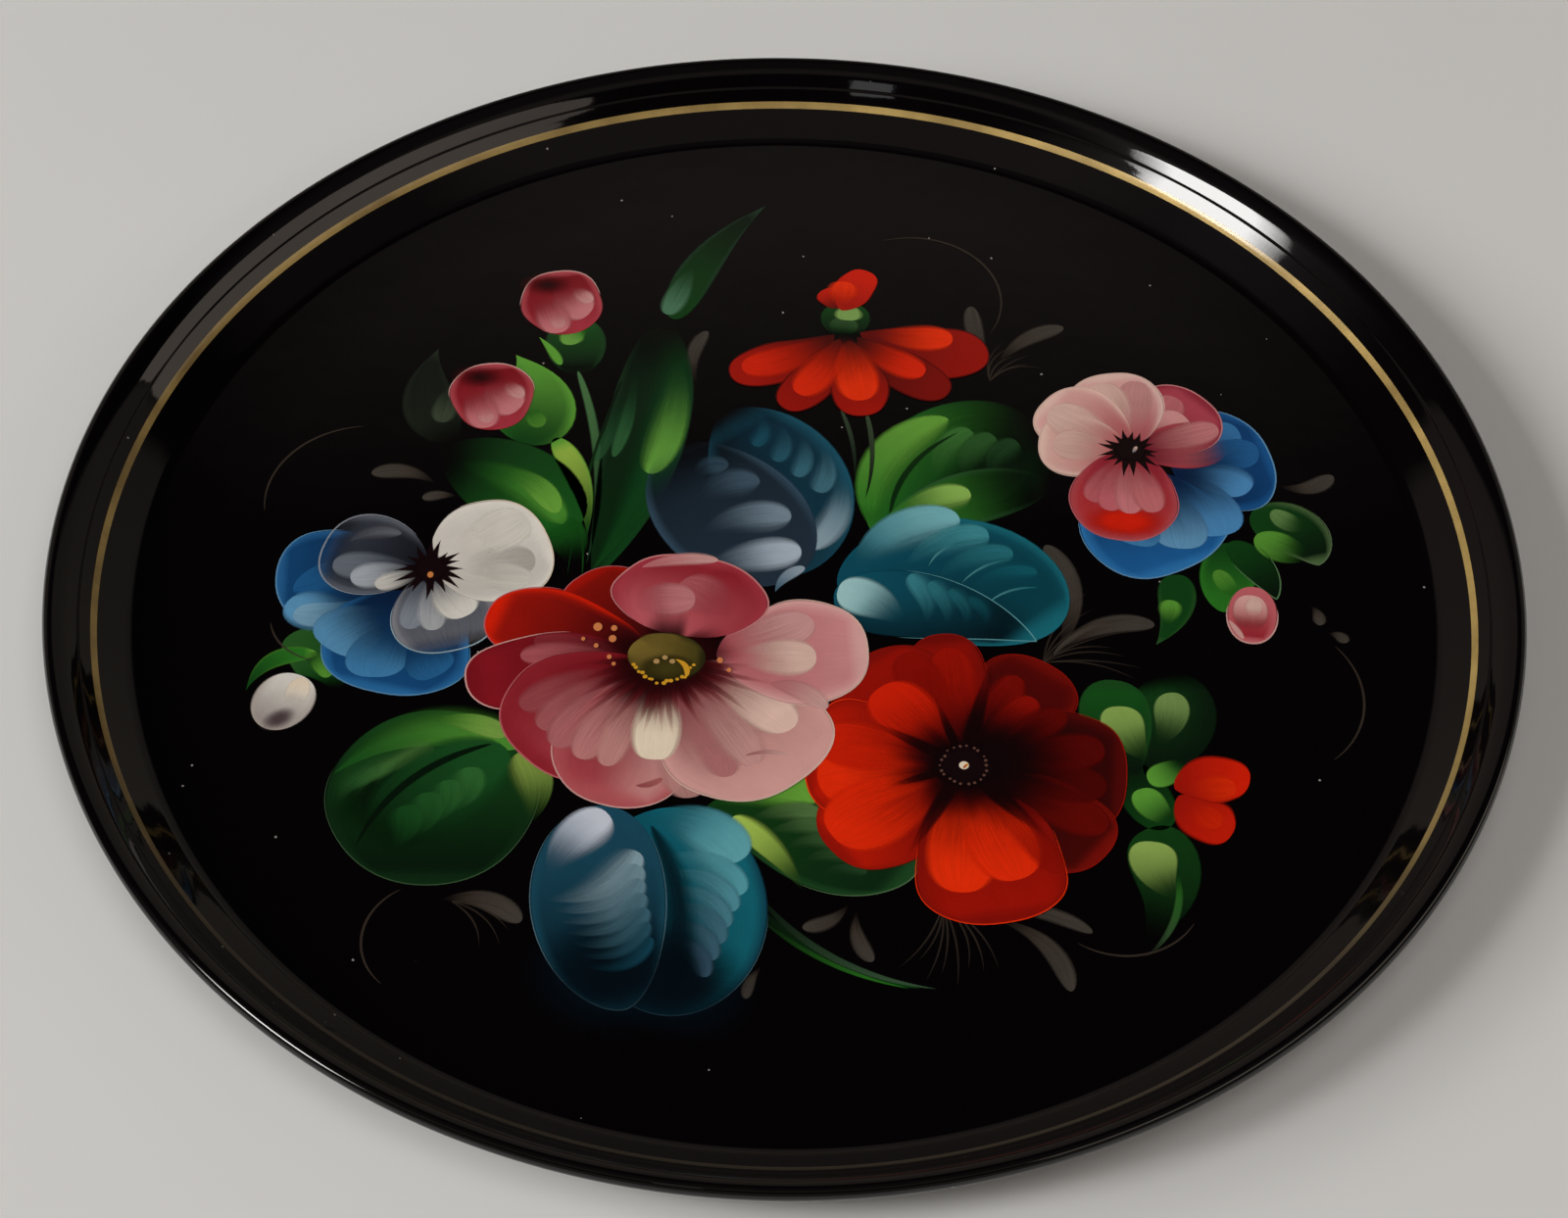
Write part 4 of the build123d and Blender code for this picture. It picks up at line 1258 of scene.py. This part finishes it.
# The painting, from the lowest film to the topmost: each row is a stage's height in decks, its
# paint's slot and its motifs. The four flowers in RICH show more bristle streaks than the rest.
sprigs()
stems()
RICH = (white_pansy, pink_pansy, red_poppy, pink_rose)
STAGES = (
    (0, "green_paint", (shadow_leaf,)),
    (1, "green_paint", (broad_leaf, lance_leaf, dark_upper_leaf, lower_blade)),
    (2, "green_paint", (round_leaf,)),
    (2, "blue_paint", (slate_leaf, teal_leaf)),
    (2, "green_paint", (green_lower_leaf, inner_green_leaf, bud_leaf, sprout_leaf, right_leaf,
                        inner_right_leaf, small_right_leaf, white_bud_calyx)),
    (3, "blue_paint", (blue_lower_leaf,)),
    (3, "green_paint", (upper_bud_calyx, side_flower_calyx, tulip_upper_leaf, tulip_lower_leaf,
                        tulip_calyx)),
    (4, "red_paint", (red_side_flower, red_tuft, red_tulip_bud)),
    (4, "pink_paint", (upper_pink_bud, lower_pink_bud)),
    (4, "white_paint", (white_bud,)),
    (4, "pink_paint", (pink_side_bud,)),
    (4, "white_paint", (white_pansy,)),
    (4, "pink_paint", (pink_pansy,)),
    (5, "red_paint", (red_poppy,)),
    (6, "pink_paint", (pink_rose,)),
)
for deck, slot, motifs in STAGES:
    for motif in motifs:
        paint_motif(motif, deck, paint_rich if motif in RICH else paint_soft)


# ---------------------------------------------------------------- studio
def table_top():
    """The pale plain surface that the tray stands on."""
    half = tray_radius * TABLE_REACH
    mesh = bpy.data.meshes.new("table_top")
    corners = [(-half, -half, 0), (half, -half, 0), (half, half, 0), (-half, half, 0)]
    mesh.from_pydata(corners, [], [(0, 1, 2, 3)])
    material, tree = new_material("table_top")
    place = add(tree, "ShaderNodeTexCoord").outputs["Object"]
    tone = noise(tree, place, 6.0, 3.0)
    colour = mixed(tree, tone, rgba((211, 211, 210)), rgba((217, 217, 216)))
    surface = shader(tree, {"Base Color": colour, "Roughness": 0.9, "Specular IOR Level": 0.0})
    finish_material(tree, surface)
    mesh.materials.append(material)
    table = bpy.data.objects.new("table_top", mesh)
    bpy.context.scene.collection.objects.link(table)


def area_light(name, place, size, power, colour, level, fade=0.0):
    """A soft panel that faces the tray, with its long side along level. fade is how much of each
    half of that side dims towards its end."""
    back = Vector(place).normalized()
    side = Vector(level)
    side = (side - back * side.dot(back)).normalized()
    data = bpy.data.lights.new(name, "AREA")
    data.shape = "RECTANGLE"
    data.size, data.size_y = size
    data.energy = power
    data.color = colour
    if fade:
        data.use_nodes = True
        tree = data.node_tree
        tree.nodes.clear()
        place_on_panel = add(tree, "ShaderNodeNewGeometry").outputs["Parametric"]
        parts = add(tree, "ShaderNodeSeparateXYZ", {0: place_on_panel})
        off_centre = maths(tree, "ABSOLUTE", maths(tree, "SUBTRACT", parts.outputs["X"], 0.5), 0.0)
        strength = ranged(tree, off_centre, 0.5 - fade / 2, 0.5, 1.0, 0.0)
        glowing = add(tree, "ShaderNodeEmission", {"Strength": strength}).outputs[0]
        add(tree, "ShaderNodeOutputLight", {"Surface": glowing})
    light = bpy.data.objects.new(name, data)
    light.visible_camera = False
    turn = Matrix((side, back.cross(side), back)).transposed().to_4x4()
    light.matrix_world = Matrix.Translation(place) @ turn
    bpy.context.scene.collection.objects.link(light)
    return light


def room():
    """A dim room for the lacquer to mirror, whose tone changes from the far side, over the top, to
    the near side. The camera sees a plain pale backdrop in its place."""
    world = bpy.data.worlds.new("room")
    world.use_nodes = True
    tree = world.node_tree
    tree.nodes.clear()
    place = add(tree, "ShaderNodeTexCoord").outputs["Generated"]
    parts = add(tree, "ShaderNodeSeparateXYZ", {0: place})
    angle = maths(tree, "ARCTAN2", parts.outputs["Z"], parts.outputs["Y"])
    ramp = add(tree, "ShaderNodeValToRGB", {0: maths(tree, "DIVIDE", angle, math.pi)})
    bright, dim, dark = (0.150, 0.130, 0.112, 1), (0.055, 0.046, 0.046, 1), (0.010, 0.009, 0.010, 1)
    stops = [(0, bright), (44, bright), (49, dark), (70, dark), (86, dim), (108, dim), (116, bright),
             (126, bright), (131, dark), (142, dark), (150, bright), (180, bright)]
    while len(ramp.color_ramp.elements) < len(stops):
        ramp.color_ramp.elements.new(1.0)
    for element, (degrees, tone) in zip(ramp.color_ramp.elements, stops):
        element.position = degrees / 180
        element.color = tone
    seen = add(tree, "ShaderNodeLightPath").outputs["Is Camera Ray"]
    colour = mixed(tree, seen, ramp.outputs[0], rgba((186, 184, 181)))
    background = add(tree, "ShaderNodeBackground", {"Color": colour, "Strength": 1.0}).outputs[0]
    add(tree, "ShaderNodeOutputWorld", {"Surface": background})
    bpy.context.scene.world = world


def studio():
    """A bright window on the left and a dim broad panel on the right, which the lacquer mirrors, a
    small glint at the far side, and two soft fills that the lacquer doesn't mirror."""
    area_light("window", (-3.50, -1.28, 2.66), (1.80, 0.88), 108, DAYLIGHT, (0.36, -0.93, 0), 0.5)
    area_light("right_panel", (1.78, -0.43, 1.22), (2.92, 0.58), 5.2, WARM_LIGHT, (0.41, 0.86, -0.30))
    area_light("far_glint", (-0.38, -1.62, 1.72), (0.20, 0.16), 0.10, (1, 1, 1), (1, 0, 0))
    fills = (
        area_light("side_fill", (-4.2, -0.5, 1.75), (3.0, 1.2), 135, FILL_LIGHT, (-0.12, 0.99, 0)),
        area_light("top_fill", (0.6, -1.4, 4.0), (3.0, 3.0), 50, FILL_LIGHT, (1, 0, 0)),
    )
    for fill in fills:
        fill.visible_glossy = False
    room()


def camera():
    """Looks down at the tray from its near side, with the small tilt of a hand-held view."""
    elevation = math.radians(CAMERA_ELEVATION)
    centre = Vector((0, 0, floor_top))
    aim = centre + Vector(CAMERA_AIM) * tray_radius
    outward = Vector((0, -math.cos(elevation), math.sin(elevation)))
    place = centre + outward * (tray_radius * CAMERA_DISTANCE)
    data = bpy.data.cameras.new("camera")
    data.sensor_width = CAMERA_SENSOR
    data.lens = CAMERA_LENS
    view = bpy.data.objects.new("camera", data)
    turn = (aim - place).to_track_quat("-Z", "Y").to_matrix().to_4x4()
    roll = Matrix.Rotation(math.radians(CAMERA_ROLL), 4, "Z")
    view.matrix_world = Matrix.Translation(place) @ turn @ roll
    bpy.context.scene.collection.objects.link(view)
    bpy.context.scene.camera = view


table_top()
studio()
camera()
bpy.context.scene.view_settings.view_transform = "Standard"
bpy.context.scene.cycles.transparent_max_bounces = MOST_LAYERS
